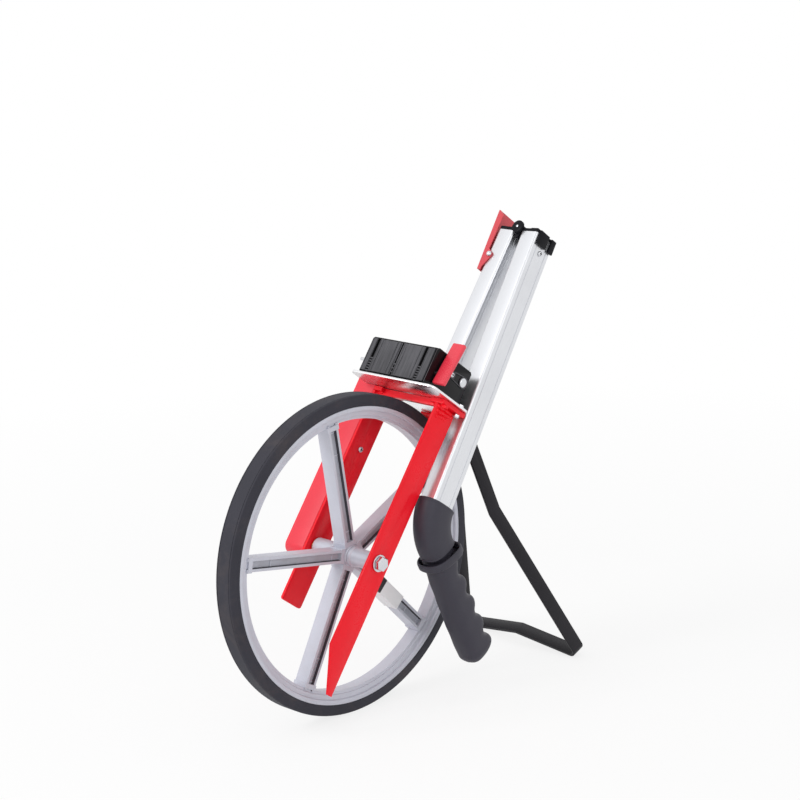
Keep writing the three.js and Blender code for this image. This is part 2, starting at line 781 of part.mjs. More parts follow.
const drumShaftHole = rodY(0, counterHeight, drumShaftRadius + seatGap, nearWall - overrun,
  nearWall + caseWall + overrun);
const resetHoles = rodY(-resetForward, resetHeight, resetShaftRadius + runGap, -caseHalf - overrun,
  caseHalf + overrun);
piece(fork, 'counter_case', cut(caseBox, caseRoom, windowOpening, windowSeat, ...slots, inputHole,
  drumShaftHole, resetHoles, counterBoltHole), blackPlastic());
const windowPane = block(-windowWidth / 2 + seatGap, windowWidth / 2 - seatGap, -windowHalf + seatGap,
  windowHalf - seatGap, caseTop - windowThickness + seatGap, caseTop);
piece(fork, 'counter_window', windowPane, clearPlastic());
const backPanel = block(caseRear - backPanelThickness, caseRear, nearWall + caseWall + seatGap,
  caseHalf - caseWall - seatGap, caseBottom + caseWall + seatGap, caseTop - caseWall - seatGap);
piece(fork, 'counter_back', cut(backPanel, counterBoltHole), blackPlastic());
const sideCover = alongY(caseOutline, -caseHalf, -caseHalf + sideCoverThickness);
piece(fork, 'counter_side_cover', cut(sideCover, resetHoles), glossBlack());

// Number drums: the first turns on the input shaft, the others on a fixed shaft
const drumY = (k) => drumLead - drumPitch * k;
const inputEnd = drumY(0) - drumWidth / 2;
const drumShaftEnd = inputEnd - seatGap;
piece(fork, 'drum_shaft', rodY(0, counterHeight, drumShaftRadius, nearWall + seatGap, drumShaftEnd),
  zincSteel());
for (let k = 0; k < drumCount; k += 1) {
  const bore = (k === 0 ? inputShaftRadius + seatGap : drumShaftRadius + runGap);
  const drum = sleeveY(bore, drumRadius, drumY(k) - drumWidth / 2, drumY(k) + drumWidth / 2);
  piece(fork, `number_drum_${k + 1}`, moved(drum, 0, 0, counterHeight), whiteSheet());
}
const counterPulley = pulley(inputShaftRadius + seatGap, caseHalf + runGap);
piece(fork, 'counter_pulley', moved(counterPulley, 0, 0, counterHeight), blackPlastic());
piece(fork, 'input_shaft', rodY(0, counterHeight, inputShaftRadius, inputEnd, pulleyEnd), zincSteel());

// Reset lever and its shaft, which shows as a stub on the far side
const leverInner = caseHalf + leverStandoff;
const leverShape = rounded(-leverThickness / 2, -leverBelow, leverThickness / 2, leverAbove, leverCorner);
const leverBar = alongY(leverShape, -leverInner - leverWidth, -leverInner)
  .rotateY(Math.asin(leverBack / leverAbove));
const leverBore = rodY(0, 0, resetShaftRadius + seatGap, -leverInner - leverWidth - overrun,
  -leverInner + overrun);
piece(fork, 'reset_lever', moved(cut(leverBar, leverBore), -resetForward, 0, resetHeight), redPaint());
piece(fork, 'reset_shaft', rodY(-resetForward, resetHeight, resetShaftRadius, -leverInner - leverWidth,
  caseHalf + resetStub), zincSteel());

// Tube section: x across its depth, y across its width
function grooved(depth, width) {
  const x = depth / 2;
  const y = width / 2;
  const g = tubeGrooveInset;
  const bend = tubeCorner * (1 - Math.SQRT1_2);
  const side = [
    [x, tubeCorner - y],
    [x, y - tubeCorner],
    [x - bend, y - bend],
    [x - tubeCorner, y],
    [x - g, y],
    [x - g - tubeGrooveWidth / 2, y - tubeGrooveDepth],
    [x - g - tubeGrooveWidth, y],
    [g + tubeGrooveWidth - x, y],
    [g + tubeGrooveWidth / 2 - x, y - tubeGrooveDepth],
    [g - x, y],
    [tubeCorner - x, y],
    [bend - x, y - bend],
  ];
  const far = side.map(([u, v]) => [-u, -v]);
  return [...side, ...far];
}
function tubeShape(wall) {
  const depth = tubeDepth - 2 * wall;
  const width = tubeWidth - 2 * wall;
  const corner = Math.max(tubeCorner - wall, seatGap);
  return rounded(-depth / 2, -width / 2, depth / 2, width / 2, corner);
}
function tube(start, end) {
  const skin = alongZ(outline(grooved(tubeDepth, tubeWidth)), start, end);
  return cut(skin, alongZ(tubeShape(tubeWall), start - overrun, end + overrun, 2));
}
const plugShape = tubeShape(tubeWall + seatGap);

// Lower tube, with holes for the bracket bolt, bracket screw and latch rivet
const bracketTop = caseBottom + bracketHeight;
const bracketBoltX = tubeFront + bracketBoltSetback;
const bracketBoltZ = bracketTop - bracketBoltDrop;
const bracketScrewX = tubeFront + bracketScrewSetback;
const bracketHalf = tubeHalf + bracketWall;
const latchPivotY = tubeHalf - latchPivotInset;
const latchPivotZ = hingeHeight - latchDrop;
const boltHole = rodY(bracketBoltX, bracketBoltZ, bracketBoltRadius + seatGap,
  -bracketHalf - overrun, bracketHalf + overrun);
const screwHole = rodY(bracketScrewX, bracketBoltZ, bracketScrewRadius + seatGap,
  -bracketHalf - overrun, 0);
const latchHole = rodX(latchPivotY, latchPivotZ, latchPinRadius + seatGap, tubeFront - overrun,
  tubeRear + overrun);
const lowerTube = moved(tube(lowerTubeBottom, lowerTubeTop), tubeMiddle, 0, 0);
piece(fork, 'lower_tube', cut(lowerTube, boltHole, screwHole, latchHole), aluminium());

// Handle bracket: a block with a pocket for the lower tube
const bracketStart = tubeFront - bracketFront;
const bracketEnd = tubeRear + bracketRear;
const bracketBlock = alongY(outline([
  [bracketStart, caseBottom],
  [bracketEnd, caseBottom],
  [bracketEnd, bracketTop - bracketChamfer],
  [bracketEnd - bracketChamfer, bracketTop],
  [bracketStart, bracketTop],
]), -bracketHalf, bracketHalf);
const bracketPocket = alongZ(tubeShape(-seatGap), lowerTubeBottom - seatGap, bracketTop + overrun, 2)
  .translate(tubeMiddle, 0, 0);
piece(fork, 'handle_bracket', cut(bracketBlock, bracketPocket, boltHole, screwHole), blackPlastic());
const boltFace = bracketHalf + seatGap;
const bracketBolt = join(
  rodY(bracketBoltX, bracketBoltZ, bracketBoltHead, -boltFace - bracketBoltHeadHeight, -boltFace),
  rodY(bracketBoltX, bracketBoltZ, bracketBoltRadius, -boltFace - seatGap, boltFace + seatGap),
  rodY(bracketBoltX, bracketBoltZ, bracketBoltHead, boltFace, boltFace + bracketBoltHeadHeight),
);
piece(fork, 'bracket_bolt', bracketBolt, zincSteel());
const bracketScrew = join(
  rodY(bracketScrewX, bracketBoltZ, bracketScrewHead, -boltFace - bracketScrewHead / 2, -boltFace,
    smallFacets),
  rodY(bracketScrewX, bracketBoltZ, bracketScrewRadius, -boltFace - seatGap, -tubeHalf + tubeWall),
);
piece(fork, 'bracket_screw', bracketScrew, zincSteel());

// Lower hinge cap: plugged into the lower tube, with one knuckle and a pocket for the tongue
const capBottom = lowerTubeTop + seatGap;
const capTop = hingeHeight - seatGap / 2;
const knuckleHalf = (tubeDepth * knuckleShare) / 2;
const pocketHalf = tongueWidth / 2 + pocketRoom;
const lowerCapPlate = alongZ(tubeShape(0), capBottom, capTop, 2).translate(tubeMiddle, 0, 0);
const lowerPlug = alongZ(plugShape, capBottom - plugLength, capBottom + seatGap, 2)
  .translate(tubeMiddle, 0, 0);
const lowerKnuckle = rodX(-hingeOffset, hingeHeight, knuckleRadius, tubeMiddle - knuckleHalf,
  tubeMiddle + knuckleHalf, smallFacets);
const lowerBridge = block(tubeMiddle - knuckleHalf, tubeMiddle + knuckleHalf, -hingeOffset, -tubeHalf / 2,
  capBottom, capTop);
const hingeBore = rodX(-hingeOffset, hingeHeight, hingePinRadius + seatGap, tubeFront - hingePinProud,
  tubeRear + hingePinProud);
const tonguePocket = block(tubeMiddle - tongueLength / 2 - pocketRoom,
  tubeMiddle + tongueLength / 2 + pocketRoom, -pocketHalf, pocketHalf,
  capTop - tongueHeight - pocketRoom, capTop + overrun);
piece(fork, 'lower_hinge_cap', cut(join(lowerCapPlate, lowerPlug, lowerKnuckle, lowerBridge), hingeBore,
  tonguePocket), blackPlastic());

// Upper tube: in the handle's frame its middle lies as far from the pin as the lower tube's
const upperStart = hingeRise - seatGap;
const upperEnd = upperStart + upperTubeLength;
const catchScrewX = tubeMiddle;
const catchScrewHole = rodY(catchScrewX, catchScrewDrop, catchScrewRadius + seatGap, hingeOffset,
  hingeOffset + tubeHalf + overrun);
const upperTube = moved(tube(upperStart, upperEnd), tubeMiddle, hingeOffset, 0);
piece(handle, 'upper_tube', cut(upperTube, catchScrewHole), aluminium());

// Upper hinge cap: plugged into the upper tube, with two knuckles, a tongue and two catch lugs
const upperCapStart = seatGap / 2;
const upperCapEnd = upperStart - seatGap;
const lugStart = hingeOffset + tubeHalf + seatGap;
const lugEnd = lugStart + lugThickness;
const upperCapPlate = alongZ(tubeShape(0), upperCapStart, upperCapEnd, 2)
  .translate(tubeMiddle, hingeOffset, 0);
const upperPlugEnd = catchScrewDrop + plugLength / 2;
const upperPlug = alongZ(plugShape, upperCapEnd - seatGap, upperPlugEnd, 2)
  .translate(tubeMiddle, hingeOffset, 0);
const tongue = block(tubeMiddle - tongueLength / 2, tubeMiddle + tongueLength / 2,
  hingeOffset - tongueWidth / 2, hingeOffset + tongueWidth / 2, -tongueHeight, upperCapEnd);
const upperKnuckles = [-1, 1].flatMap((side) => {
  const ends = [tubeMiddle + side * (knuckleHalf + seatGap), tubeMiddle + (side * tubeDepth) / 2];
  const [start, end] = ends.sort((a, b) => a - b);
  return [
    rodX(0, 0, knuckleRadius, start, end, smallFacets),
    block(start, end, 0, hingeOffset - tubeHalf / 2, upperCapStart, upperCapEnd),
  ];
});
const lugs = lugShares.flatMap(([from, to]) => {
  const start = tubeFront + from * tubeDepth;
  const end = tubeFront + to * tubeDepth;
  return [
    block(start, end, hingeOffset, lugEnd, upperCapStart, upperCapEnd),
    block(start, end, lugStart, lugEnd, upperCapStart, lugReach),
  ];
});
const handleBore = rodX(0, 0, hingePinRadius + seatGap, tubeFront - hingePinProud,
  tubeRear + hingePinProud);
piece(handle, 'upper_hinge_cap', cut(join(upperCapPlate, upperPlug, tongue, ...upperKnuckles, ...lugs),
  handleBore, catchScrewHole), blackPlastic());
const catchFace = hingeOffset + tubeHalf + seatGap;
const catchScrew = join(
  rodY(catchScrewX, catchScrewDrop, catchScrewHead, catchFace, catchFace + catchScrewHeadHeight,
    smallFacets),
  rodY(catchScrewX, catchScrewDrop, catchScrewRadius, hingeOffset + seatGap, catchFace + seatGap),
);
piece(handle, 'catch_screw', catchScrew, zincSteel());

// Hinge pin: its wide head shows in front of the tubes
const pinFront = tubeFront - hingePinProud;
const hingePin = join(
  rodX(-hingeOffset, hingeHeight, hingePinHead, pinFront, pinFront + hingePinHeadHeight),
  rodX(-hingeOffset, hingeHeight, hingePinRadius, pinFront + seatGap, tubeRear + hingePinProud),
);
piece(fork, 'hinge_pin', hingePin, zincSteel());

// Elbow: plugged into the upper tube's end, bending towards the grip
const turnEnd = elbowTurn * radians;
const elbowStart = upperEnd + seatGap;
const elbowStartWidth = tubeDepth + 2 * elbowWall;
const elbowPoint = (turn) => new THREE.Vector3(
  tubeMiddle + elbowRadius * (1 - Math.cos(turn)), hingeOffset, elbowStart + elbowRadius * Math.sin(turn));
const elbowSide = (turn) => new THREE.Vector3(-Math.cos(turn), 0, Math.sin(turn));
const elbowRings = Array.from({ length: elbowSteps + 1 }, (_, k) => {
  const share = k / elbowSteps;
  const width = elbowStartWidth + (elbowEndWidth - elbowStartWidth) * share;
  return ring(elbowPoint(share * turnEnd), elbowSide(share * turnEnd), width / 2, elbowThickness / 2);
});
const gripAxis = new THREE.Vector3(Math.sin(turnEnd), 0, Math.cos(turnEnd));
const gripSide = elbowSide(turnEnd);
const elbowEnd = elbowPoint(turnEnd);
const along = (u, v = 0) => elbowEnd.clone().addScaledVector(gripAxis, u).addScaledVector(gripSide, v);
const rodAlongGrip = (radius, start, end) => {
  const rod = new THREE.CylinderGeometry(radius, radius, end - start, smallFacets);
  const turn = new THREE.Quaternion().setFromUnitVectors(new THREE.Vector3(0, 1, 0), gripAxis);
  const middle = along((start + end) / 2);
  return closed(rod.applyQuaternion(turn).translate(middle.x, middle.y, middle.z));
};
const elbowPlugPart = alongZ(plugShape, elbowStart - elbowPlug, elbowStart + seatGap, 2)
  .translate(tubeMiddle, hingeOffset, 0);
const spigot = rodAlongGrip(spigotRadius, -seatGap, spigotLength);
piece(handle, 'elbow', join(loft(elbowRings), elbowPlugPart, spigot), blackPlastic());

// Grip: a tilted flange, then finger ridges in front and a full back, closing to a round end
const flangeStart = seatGap + flangeRise;
const flangeTilt = Math.asin(flangeRise / flangeRadius);
const flangeSide = gripSide.clone().multiplyScalar(Math.cos(flangeTilt))
  .addScaledVector(gripAxis, -Math.sin(flangeTilt));
const flangeRings = flangeShares.map(([share, size]) => ring(along(flangeStart + share * flangeLength,
  flangeBack), flangeSide, flangeRadius * size, (flangeThickness / 2) * size));
const gripStart = flangeStart + flangeLength / 2;
const gripRings = Array.from({ length: gripSteps + 1 }, (_, k) => {
  const share = k / gripSteps;
  const u = gripStart + share * gripLength;
  const ridge = gripRidge * Math.cos(2 * Math.PI * gripRidgeCount * share);
  const ending = Math.max(0, (u - gripStart - gripLength + gripEnd) / gripEnd);
  const close = Math.sqrt(1 - (ending * gripEndShare) ** 2);
  const front = -(gripFront - ridge);
  const back = gripBack - gripTaper * (1 - share) ** 2;
  const middle = (front + back) / 2;
  return ring(along(u, middle), gripSide, ((back - front) / 2) * close, (gripThickness / 2) * close);
});
const spigotHole = rodAlongGrip(spigotRadius + seatGap, -overrun, spigotLength + seatGap);
piece(handle, 'grip', cut(join(loft(flangeRings), loft(gripRings)), spigotHole), blackPlastic());

// Latch lever: a sheet channel on the lower tube's far face, turning on a rivet through the tube
const latchFront = tubeFront - seatGap - latchSheet;
const latchRear = tubeRear + seatGap + latchSheet;
const tailZ = latchPivotZ - latchTail;
const apexZ = tailZ + latchHeight;
const webInner = (z) => tubeHalf + latchStandoff + (latchLean * (z - tailZ)) / latchHeight;
const latchSheetOutline = [
  [webInner(tailZ) + latchSheet, tailZ],
  [webInner(apexZ) + latchSheet, apexZ],
];
const latchWeb = alongX(outline([
  ...latchSheetOutline,
  [webInner(apexZ), apexZ],
  [webInner(tailZ), tailZ],
]), latchFront, latchRear);
const flangeOutline = outline([
  ...latchSheetOutline,
  [webInner(apexZ), apexZ],
  [tubeHalf + seatGap, apexZ - latchTopDrop],
  [tubeHalf + seatGap, latchPivotZ + 2 * latchEar],
  [latchPivotY - latchEar, latchPivotZ + latchEar / 2],
  [latchPivotY - latchEar, latchPivotZ - latchEar / 2],
  [webInner(tailZ + latchEar) - latchFlange, tailZ + latchEar],
  [webInner(tailZ) - latchFlange, tailZ],
]);
const frontFlange = alongX(flangeOutline, latchFront, latchFront + latchSheet);
const rearFlange = alongX(flangeOutline, latchRear - latchSheet, latchRear);
const latchRoom = rodX(latchPivotY, latchPivotZ, latchPinRadius + runGap, latchFront - overrun,
  latchRear + overrun);
const latchTaper = alongY(outline([
  [latchRear + overrun, latchPivotZ + 2 * latchEar],
  [latchRear + overrun, apexZ + overrun],
  [latchRear - (tubeDepth * (1 - latchTopShare)) / 2, apexZ + overrun],
]), tubeHalf, tubeHalf + latchStandoff + latchLean + latchSheet + overrun);
piece(fork, 'latch_lever', cut(join(latchWeb, frontFlange, rearFlange), latchRoom, latchTaper), redPaint());
const rivetStart = latchFront - latchPinProud;
const rivetEnd = latchRear + latchPinProud;
const latchRivet = join(
  rodX(latchPivotY, latchPivotZ, latchPinRadius, rivetStart, rivetEnd, smallFacets),
  rodX(latchPivotY, latchPivotZ, latchPinHead, rivetStart, latchFront - runGap, smallFacets),
  rodX(latchPivotY, latchPivotZ, latchPinHead, latchRear + runGap, rivetEnd, smallFacets),
);
piece(fork, 'latch_rivet', latchRivet, zincSteel());

// Kickstand bracket: a plate under the deck's tongue, with an ear at each end reaching back to the pin
const kickPinX = tubeRear + kickPinSetback;
const kickPinZ = deckBottom - kickPinDrop;
const earOuter = kickBracketWidth / 2;
const earTop = deckBottom - seatGap;
const earPlate = (side) => {
  const ends = [side * (earOuter - kickEarThickness), side * earOuter].sort((a, b) => a - b);
  const shape = outline([
    [kickPinX - kickEarLength, earTop],
    [kickPinX - kickEarLength, earTop - kickBracketThickness],
    [kickPinX - kickEarDepth / 2, kickPinZ - kickEarDepth / 2],
    [kickPinX + kickEarDepth / 2, kickPinZ - kickEarDepth / 2],
    [kickPinX + kickEarDepth / 2, earTop],
  ]);
  return alongY(shape, ends[0], ends[1]);
};
const earBridge = block(kickPinX - kickEarLength, kickPinX - kickPinRadius - runGap, -earOuter, earOuter,
  earTop - kickBracketThickness, earTop);
const kickBore = rodY(kickPinX, kickPinZ, kickPinRadius + seatGap, -deckHalf, deckHalf);
piece(fork, 'kickstand_bracket', cut(join(earBridge, earPlate(-1), earPlate(1)), kickBore), redPaint());

// Kickstand: one flat bar bent into a bail, its width across the leg, standing on its two feet
const kickTilt = kickAngle * radians;
const pivotLeanX = kickPinX * Math.cos(lean * radians) + kickPinZ * Math.sin(lean * radians);
const pivotLeanZ = kickPinZ * Math.cos(lean * radians) - kickPinX * Math.sin(lean * radians);
const pivotHeight = wheelRadius + pivotLeanZ;
const kickHalf = kickWidth / 2;
const kickReach = (pivotHeight - kickHalf * Math.sin(kickTilt)) / Math.cos(kickTilt);
const barHalf = kickThickness / 2;
const legStart = earOuter + runGap + barHalf;
const knee = kickKneeShare * kickReach;
const footLine = kickReach - barHalf;
const halfPath = [
  [legStart, -kickHalf],
  [legStart, kickHalf],
  [kickKneeSpread, knee],
];
for (let k = 0; k <= kickCornerSteps; k += 1) {
  const turn = (Math.PI / 2) * (k / kickCornerSteps);
  halfPath.push([
    kickFootSpread - kickFootCorner * (1 - Math.cos(turn)),
    footLine - kickFootCorner * (1 - Math.sin(turn)),
  ]);
}
halfPath.push([0, footLine - kickFootRise]);
const mirrored = halfPath.slice(0, -1).map(([y, t]) => [-y, t]).reverse();
const kickPath = [...halfPath, ...mirrored].map(([y, t]) => new THREE.Vector2(y, t));

// The strip's edge on one side of its middle line, mitred at each bend
function stripEdge(path, offset) {
  return path.map((point, k) => {
    const before = path[Math.max(k - 1, 0)];
    const after = path[Math.min(k + 1, path.length - 1)];
    const into = point.clone().sub(before).normalize();
    const out = after.clone().sub(point).normalize();
    const first = k === 0 ? out : into;
    const second = k === path.length - 1 ? into : out;
    const normal = new THREE.Vector2(-first.y - second.y, first.x + second.x).normalize();
    const mitre = offset / normal.dot(new THREE.Vector2(-second.y, second.x));
    return [point.x + normal.x * mitre, point.y + normal.y * mitre];
  });
}
const kickOutline = outline([...stripEdge(kickPath, barHalf), ...stripEdge(kickPath, -barHalf).reverse()]);
const kickBar = alongX(kickOutline, -kickHalf, kickHalf);
const kickHole = rodY(0, 0, kickPinRadius + runGap, -deckHalf, deckHalf);
const kickBody = cut(kickBar, kickHole);
const kickstand = piece(wheel, 'kickstand', kickBody, blackPlastic());
kickstand.position.set(pivotLeanX, 0, pivotHeight);
kickstand.rotation.y = Math.PI - kickTilt;

// Kickstand pin
const pinHeadStart = legStart + barHalf + runGap;
const kickPin = join(
  rodY(kickPinX, kickPinZ, kickPinRadius, -pinHeadStart - seatGap, pinHeadStart + seatGap),
  rodY(kickPinX, kickPinZ, kickPinHead, -pinHeadStart - kickPinHeadHeight, -pinHeadStart, smallFacets),
  rodY(kickPinX, kickPinZ, kickPinHead, pinHeadStart, pinHeadStart + kickPinHeadHeight, smallFacets),
);
piece(fork, 'kickstand_pin', kickPin, zincSteel());

export default wheel;
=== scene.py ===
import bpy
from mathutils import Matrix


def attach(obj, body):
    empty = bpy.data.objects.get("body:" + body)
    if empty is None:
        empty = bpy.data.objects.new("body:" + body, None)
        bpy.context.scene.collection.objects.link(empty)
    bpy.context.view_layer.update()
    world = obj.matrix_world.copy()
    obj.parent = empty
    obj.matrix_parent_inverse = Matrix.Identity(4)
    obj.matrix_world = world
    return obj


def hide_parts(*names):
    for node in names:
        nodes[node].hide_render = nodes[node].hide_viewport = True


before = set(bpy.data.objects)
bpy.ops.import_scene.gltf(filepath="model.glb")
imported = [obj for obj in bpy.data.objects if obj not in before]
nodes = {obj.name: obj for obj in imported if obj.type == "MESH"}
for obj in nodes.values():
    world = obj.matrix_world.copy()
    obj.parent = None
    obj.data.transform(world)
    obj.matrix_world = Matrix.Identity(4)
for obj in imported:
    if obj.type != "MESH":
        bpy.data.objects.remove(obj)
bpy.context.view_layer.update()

import math
import random

import bmesh
import bpy
from mathutils import Matrix, Vector

scene = bpy.context.scene

# Camera: a long lens at table height, in front and to the near side of the wheel.
# It leans a little to one side, as it did for the photograph.
lens = bpy.data.cameras.new("camera")
lens.sensor_width = 36
lens.lens = 100.573
lens.clip_end = 300
camera = bpy.data.objects.new("camera", lens)
camera.location = (-1.42708756, -1.51578090, 0.82628270)
camera.rotation_euler = [math.radians(turn) for turn in (76.11562934, 1.89914649, -45.32182986)]
scene.collection.objects.link(camera)
scene.camera = camera
scene.view_settings.view_transform = "Standard"


# Studio: a pale floor that runs out of the picture, a white room, and a soft lamp on either side.
# The floor is lit for what falls on it and white where it is only looked at, and keeps a light shadow.
def add(tree, kind, sockets=None, **settings):
    """A new node in a tree, with its settings, and with values or links on its sockets."""
    node = tree.nodes.new(kind)
    for name, value in settings.items():
        setattr(node, name, value)
    for name, value in (sockets or {}).items():
        if isinstance(value, bpy.types.NodeSocket):
            tree.links.new(value, node.inputs[name])
        else:
            node.inputs[name].default_value = value
    return node


def maths(tree, operation, first, second, **settings):
    return add(tree, "ShaderNodeMath", {0: first, 1: second}, operation=operation, **settings).outputs[0]


def ranged(tree, value, low=0.0, high=1.0, start=0.0, end=1.0):
    """A value between low and high, carried over to lie between start and end."""
    return add(tree, "ShaderNodeMapRange", {"Value": value, "From Min": low, "From Max": high,
                                            "To Min": start, "To Max": end}).outputs[0]


def noise(tree, place, scale, **sockets):
    return add(tree, "ShaderNodeTexNoise", {"Vector": place, "Scale": scale, **sockets}).outputs[0]


def object_place(tree):
    return add(tree, "ShaderNodeTexCoord").outputs["Object"]


def emptied(holder):
    """The node tree of a material or a world, with nothing in it."""
    holder.use_nodes = True
    holder.node_tree.nodes.clear()
    return holder.node_tree


def looked_at(tree):
    """One for a ray from the camera, a glossy surface or a pane, and zero for the rest."""
    rays = add(tree, "ShaderNodeLightPath").outputs
    first = maths(tree, "MAXIMUM", rays["Is Camera Ray"], rays["Is Glossy Ray"])
    return maths(tree, "MAXIMUM", first, rays["Is Transmission Ray"])


room_light = 0.78
scene.world = bpy.data.worlds.new("room")
room = emptied(scene.world)
strength = ranged(room, looked_at(room), start=room_light)
room_wall = add(room, "ShaderNodeBackground", {"Color": (1, 1, 1, 1), "Strength": strength})
add(room, "ShaderNodeOutputWorld", {"Surface": room_wall.outputs[0]})

floor_reach, floor_drop = 80.0, 0.0006
shadow_near, shadow_far, shadow_share = 0.55, 1.4, 0.20
fibre_scale, fibre_dark, fibre_light = 900.0, 0.86, 0.9
paper = bpy.data.materials.new("floor_paper")
tree = emptied(paper)
spot = object_place(tree)
far = add(tree, "ShaderNodeVectorMath", {0: spot}, operation="LENGTH").outputs["Value"]
white = ranged(tree, far, shadow_near, shadow_far, 1 - shadow_share)
share = maths(tree, "MULTIPLY", looked_at(tree), white)
tint = ranged(tree, noise(tree, spot, fibre_scale), start=fibre_dark, end=fibre_light)
tone = add(tree, "ShaderNodeCombineColor", {name: tint for name in ("Red", "Green", "Blue")})
lit = add(tree, "ShaderNodeBsdfDiffuse", {"Color": tone.outputs[0]})
bright = add(tree, "ShaderNodeEmission", {"Color": (1, 1, 1, 1), "Strength": 1.0})
both = add(tree, "ShaderNodeMixShader", {"Fac": share, 1: lit.outputs[0], 2: bright.outputs[0]})
add(tree, "ShaderNodeOutputMaterial", {"Surface": both.outputs[0]})
sheet = bmesh.new()
bmesh.ops.create_grid(sheet, x_segments=1, y_segments=1, size=floor_reach / 2,
                      matrix=Matrix.Translation((0, 0, -floor_drop)))
floor_mesh = bpy.data.meshes.new("floor")
sheet.to_mesh(floor_mesh)
sheet.free()
floor_mesh.materials.append(paper)
studio_floor = bpy.data.objects.new("floor", floor_mesh)
scene.collection.objects.link(studio_floor)

lamp_aim = Vector((0.06, 0.0, 0.28))
lamps = (("key_lamp", (-2.5, 0.9, 2.3), 42.0, 1.3),
         ("side_lamp", (-0.6, -2.8, 1.5), 9.0, 1.8))
for name, place, watts, size in lamps:
    lamp = bpy.data.lights.new(name, "AREA")
    lamp.energy = watts
    lamp.size = size
    lamp_object = bpy.data.objects.new(name, lamp)
    lamp_object.location = place
    lamp_object.rotation_euler = (lamp_aim - Vector(place)).to_track_quat("-Z", "Y").to_euler()
    scene.collection.objects.link(lamp_object)


# Tyre: a solid ring of dark rubber, keyed onto the rim. Its tread is smooth between two fine lines,
# its shoulders are sharp, and brown dust from the ground has stayed on it in patches.
wheel_radius = 159.155
lean = math.radians(36.96)
millimetres = Matrix.Scale(0.001, 4)
axle_place = Matrix.Translation((0, 0, wheel_radius / 1000)) @ millimetres


def blended(tree, share, first, second):
    return add(tree, "ShaderNodeMix", {0: share, 6: first, 7: second}, data_type="RGBA").outputs[2]


def group(name, inputs, outputs):
    """An effect for materials to share: its node tree, and the sockets that bring its inputs."""
    shared = bpy.data.node_groups.new(name, "ShaderNodeTree")
    for way, sockets in (("INPUT", inputs), ("OUTPUT", outputs)):
        for label, kind in sockets.items():
            shared.interface.new_socket(label, in_out=way, socket_type="NodeSocket" + kind)
    return shared, add(shared, "NodeGroupInput").outputs


def skin_group(name, pattern_inputs):
    """An effect that lays two colours over a surface in a pattern."""
    inputs = {"Color": "Color", "Second Color": "Color", "Roughness": "Float", "Roughness Spread": "Float"}
    outputs = {"Color": "Color", "Roughness": "Float", "Height": "Float"}
    return group(name, {**inputs, **pattern_inputs}, outputs)


def skin_out(shared, given, share, height):
    """The second colour and the rougher surface come in with the pattern's share."""
    color = blended(shared, share, given["Color"], given["Second Color"])
    lift = maths(shared, "MULTIPLY", share, given["Roughness Spread"])
    rough = maths(shared, "ADD", lift, given["Roughness"])
    add(shared, "NodeGroupOutput", {"Color": color, "Roughness": rough, "Height": height})
    return shared


def mottled_group():
    shared, given = skin_group(
        "mottled_skin", {"Patch Scale": "Float", "Grain Scale": "Float", "Grain Share": "Float"})
    spot = object_place(shared)
    patch = noise(shared, spot, given["Patch Scale"], Detail=5.0, Roughness=0.6)
    grain = noise(shared, spot, given["Grain Scale"], Detail=3.0)
    fine = maths(shared, "MULTIPLY", given["Grain Share"], ranged(shared, grain, 0.35, 0.65))
    patch_share = ranged(shared, given["Grain Share"], start=1.0, end=0.0)
    broad = maths(shared, "MULTIPLY", patch_share, ranged(shared, patch, 0.3, 0.7))
    return skin_out(shared, given, maths(shared, "ADD", fine, broad), grain)


# Dark patches laid over a colour: settled dust on most finishes, and painted shade on the groove floors.
def dust_group():
    inputs = {"Color": "Color", "Dust And Shade Color": "Color", "Scale": "Float", "Amount": "Float"}
    shared, given = group("settled_dust_and_painted_shade", inputs, {"Color": "Color"})
    cloud = noise(shared, object_place(shared), given["Scale"], Detail=8.0, Roughness=0.7, Distortion=0.6)
    mask = maths(shared, "MULTIPLY", ranged(shared, cloud, 0.5, 0.68), given["Amount"], use_clamp=True)
    add(shared, "NodeGroupOutput", {"Color": blended(shared, mask, given["Color"], given["Dust And Shade Color"])})
    return shared


mottled = mottled_group()
dust_and_shade_effect = dust_group()


def mottle(patch, grain, share):
    """Patches of two colours with a fine grain over them, as moulded or painted surfaces have."""
    return mottled, {"Patch Scale": patch, "Grain Scale": grain, "Grain Share": share}


def finish(name, pattern, first, second, roughness, spread, bump, depth=0.0001, specular=0.5,
           metallic=0.0, shader={}, dust_and_shade=None):
    """A material from a shared effect, which gives its colour, roughness and height. Dark patches may lie on
    it:
    settled dust on most finishes, and painted shade on the groove floors."""
    material = bpy.data.materials.new(name)
    tree = emptied(material)
    effect, values = pattern
    values = {"Color": (*first, 1), "Second Color": (*second, 1), "Roughness": roughness,
              "Roughness Spread": spread, **values}
    skin = add(tree, "ShaderNodeGroup", values, node_tree=effect).outputs
    color = skin["Color"]
    if dust_and_shade:
        color = add(tree, "ShaderNodeGroup", {"Color": color, **dust_and_shade}, node_tree=dust_and_shade_effect).outputs["Color"]
    relief = add(tree, "ShaderNodeBump", {"Strength": bump, "Distance": depth, "Height": skin["Height"]})
    surface = add(tree, "ShaderNodeBsdfPrincipled", {
        "Base Color": color, "Roughness": skin["Roughness"], "Normal": relief.outputs[0],
        "Specular IOR Level": specular, "Metallic": metallic, **shader})
    add(tree, "ShaderNodeOutputMaterial", {"Surface": surface.outputs[0]})
    return material


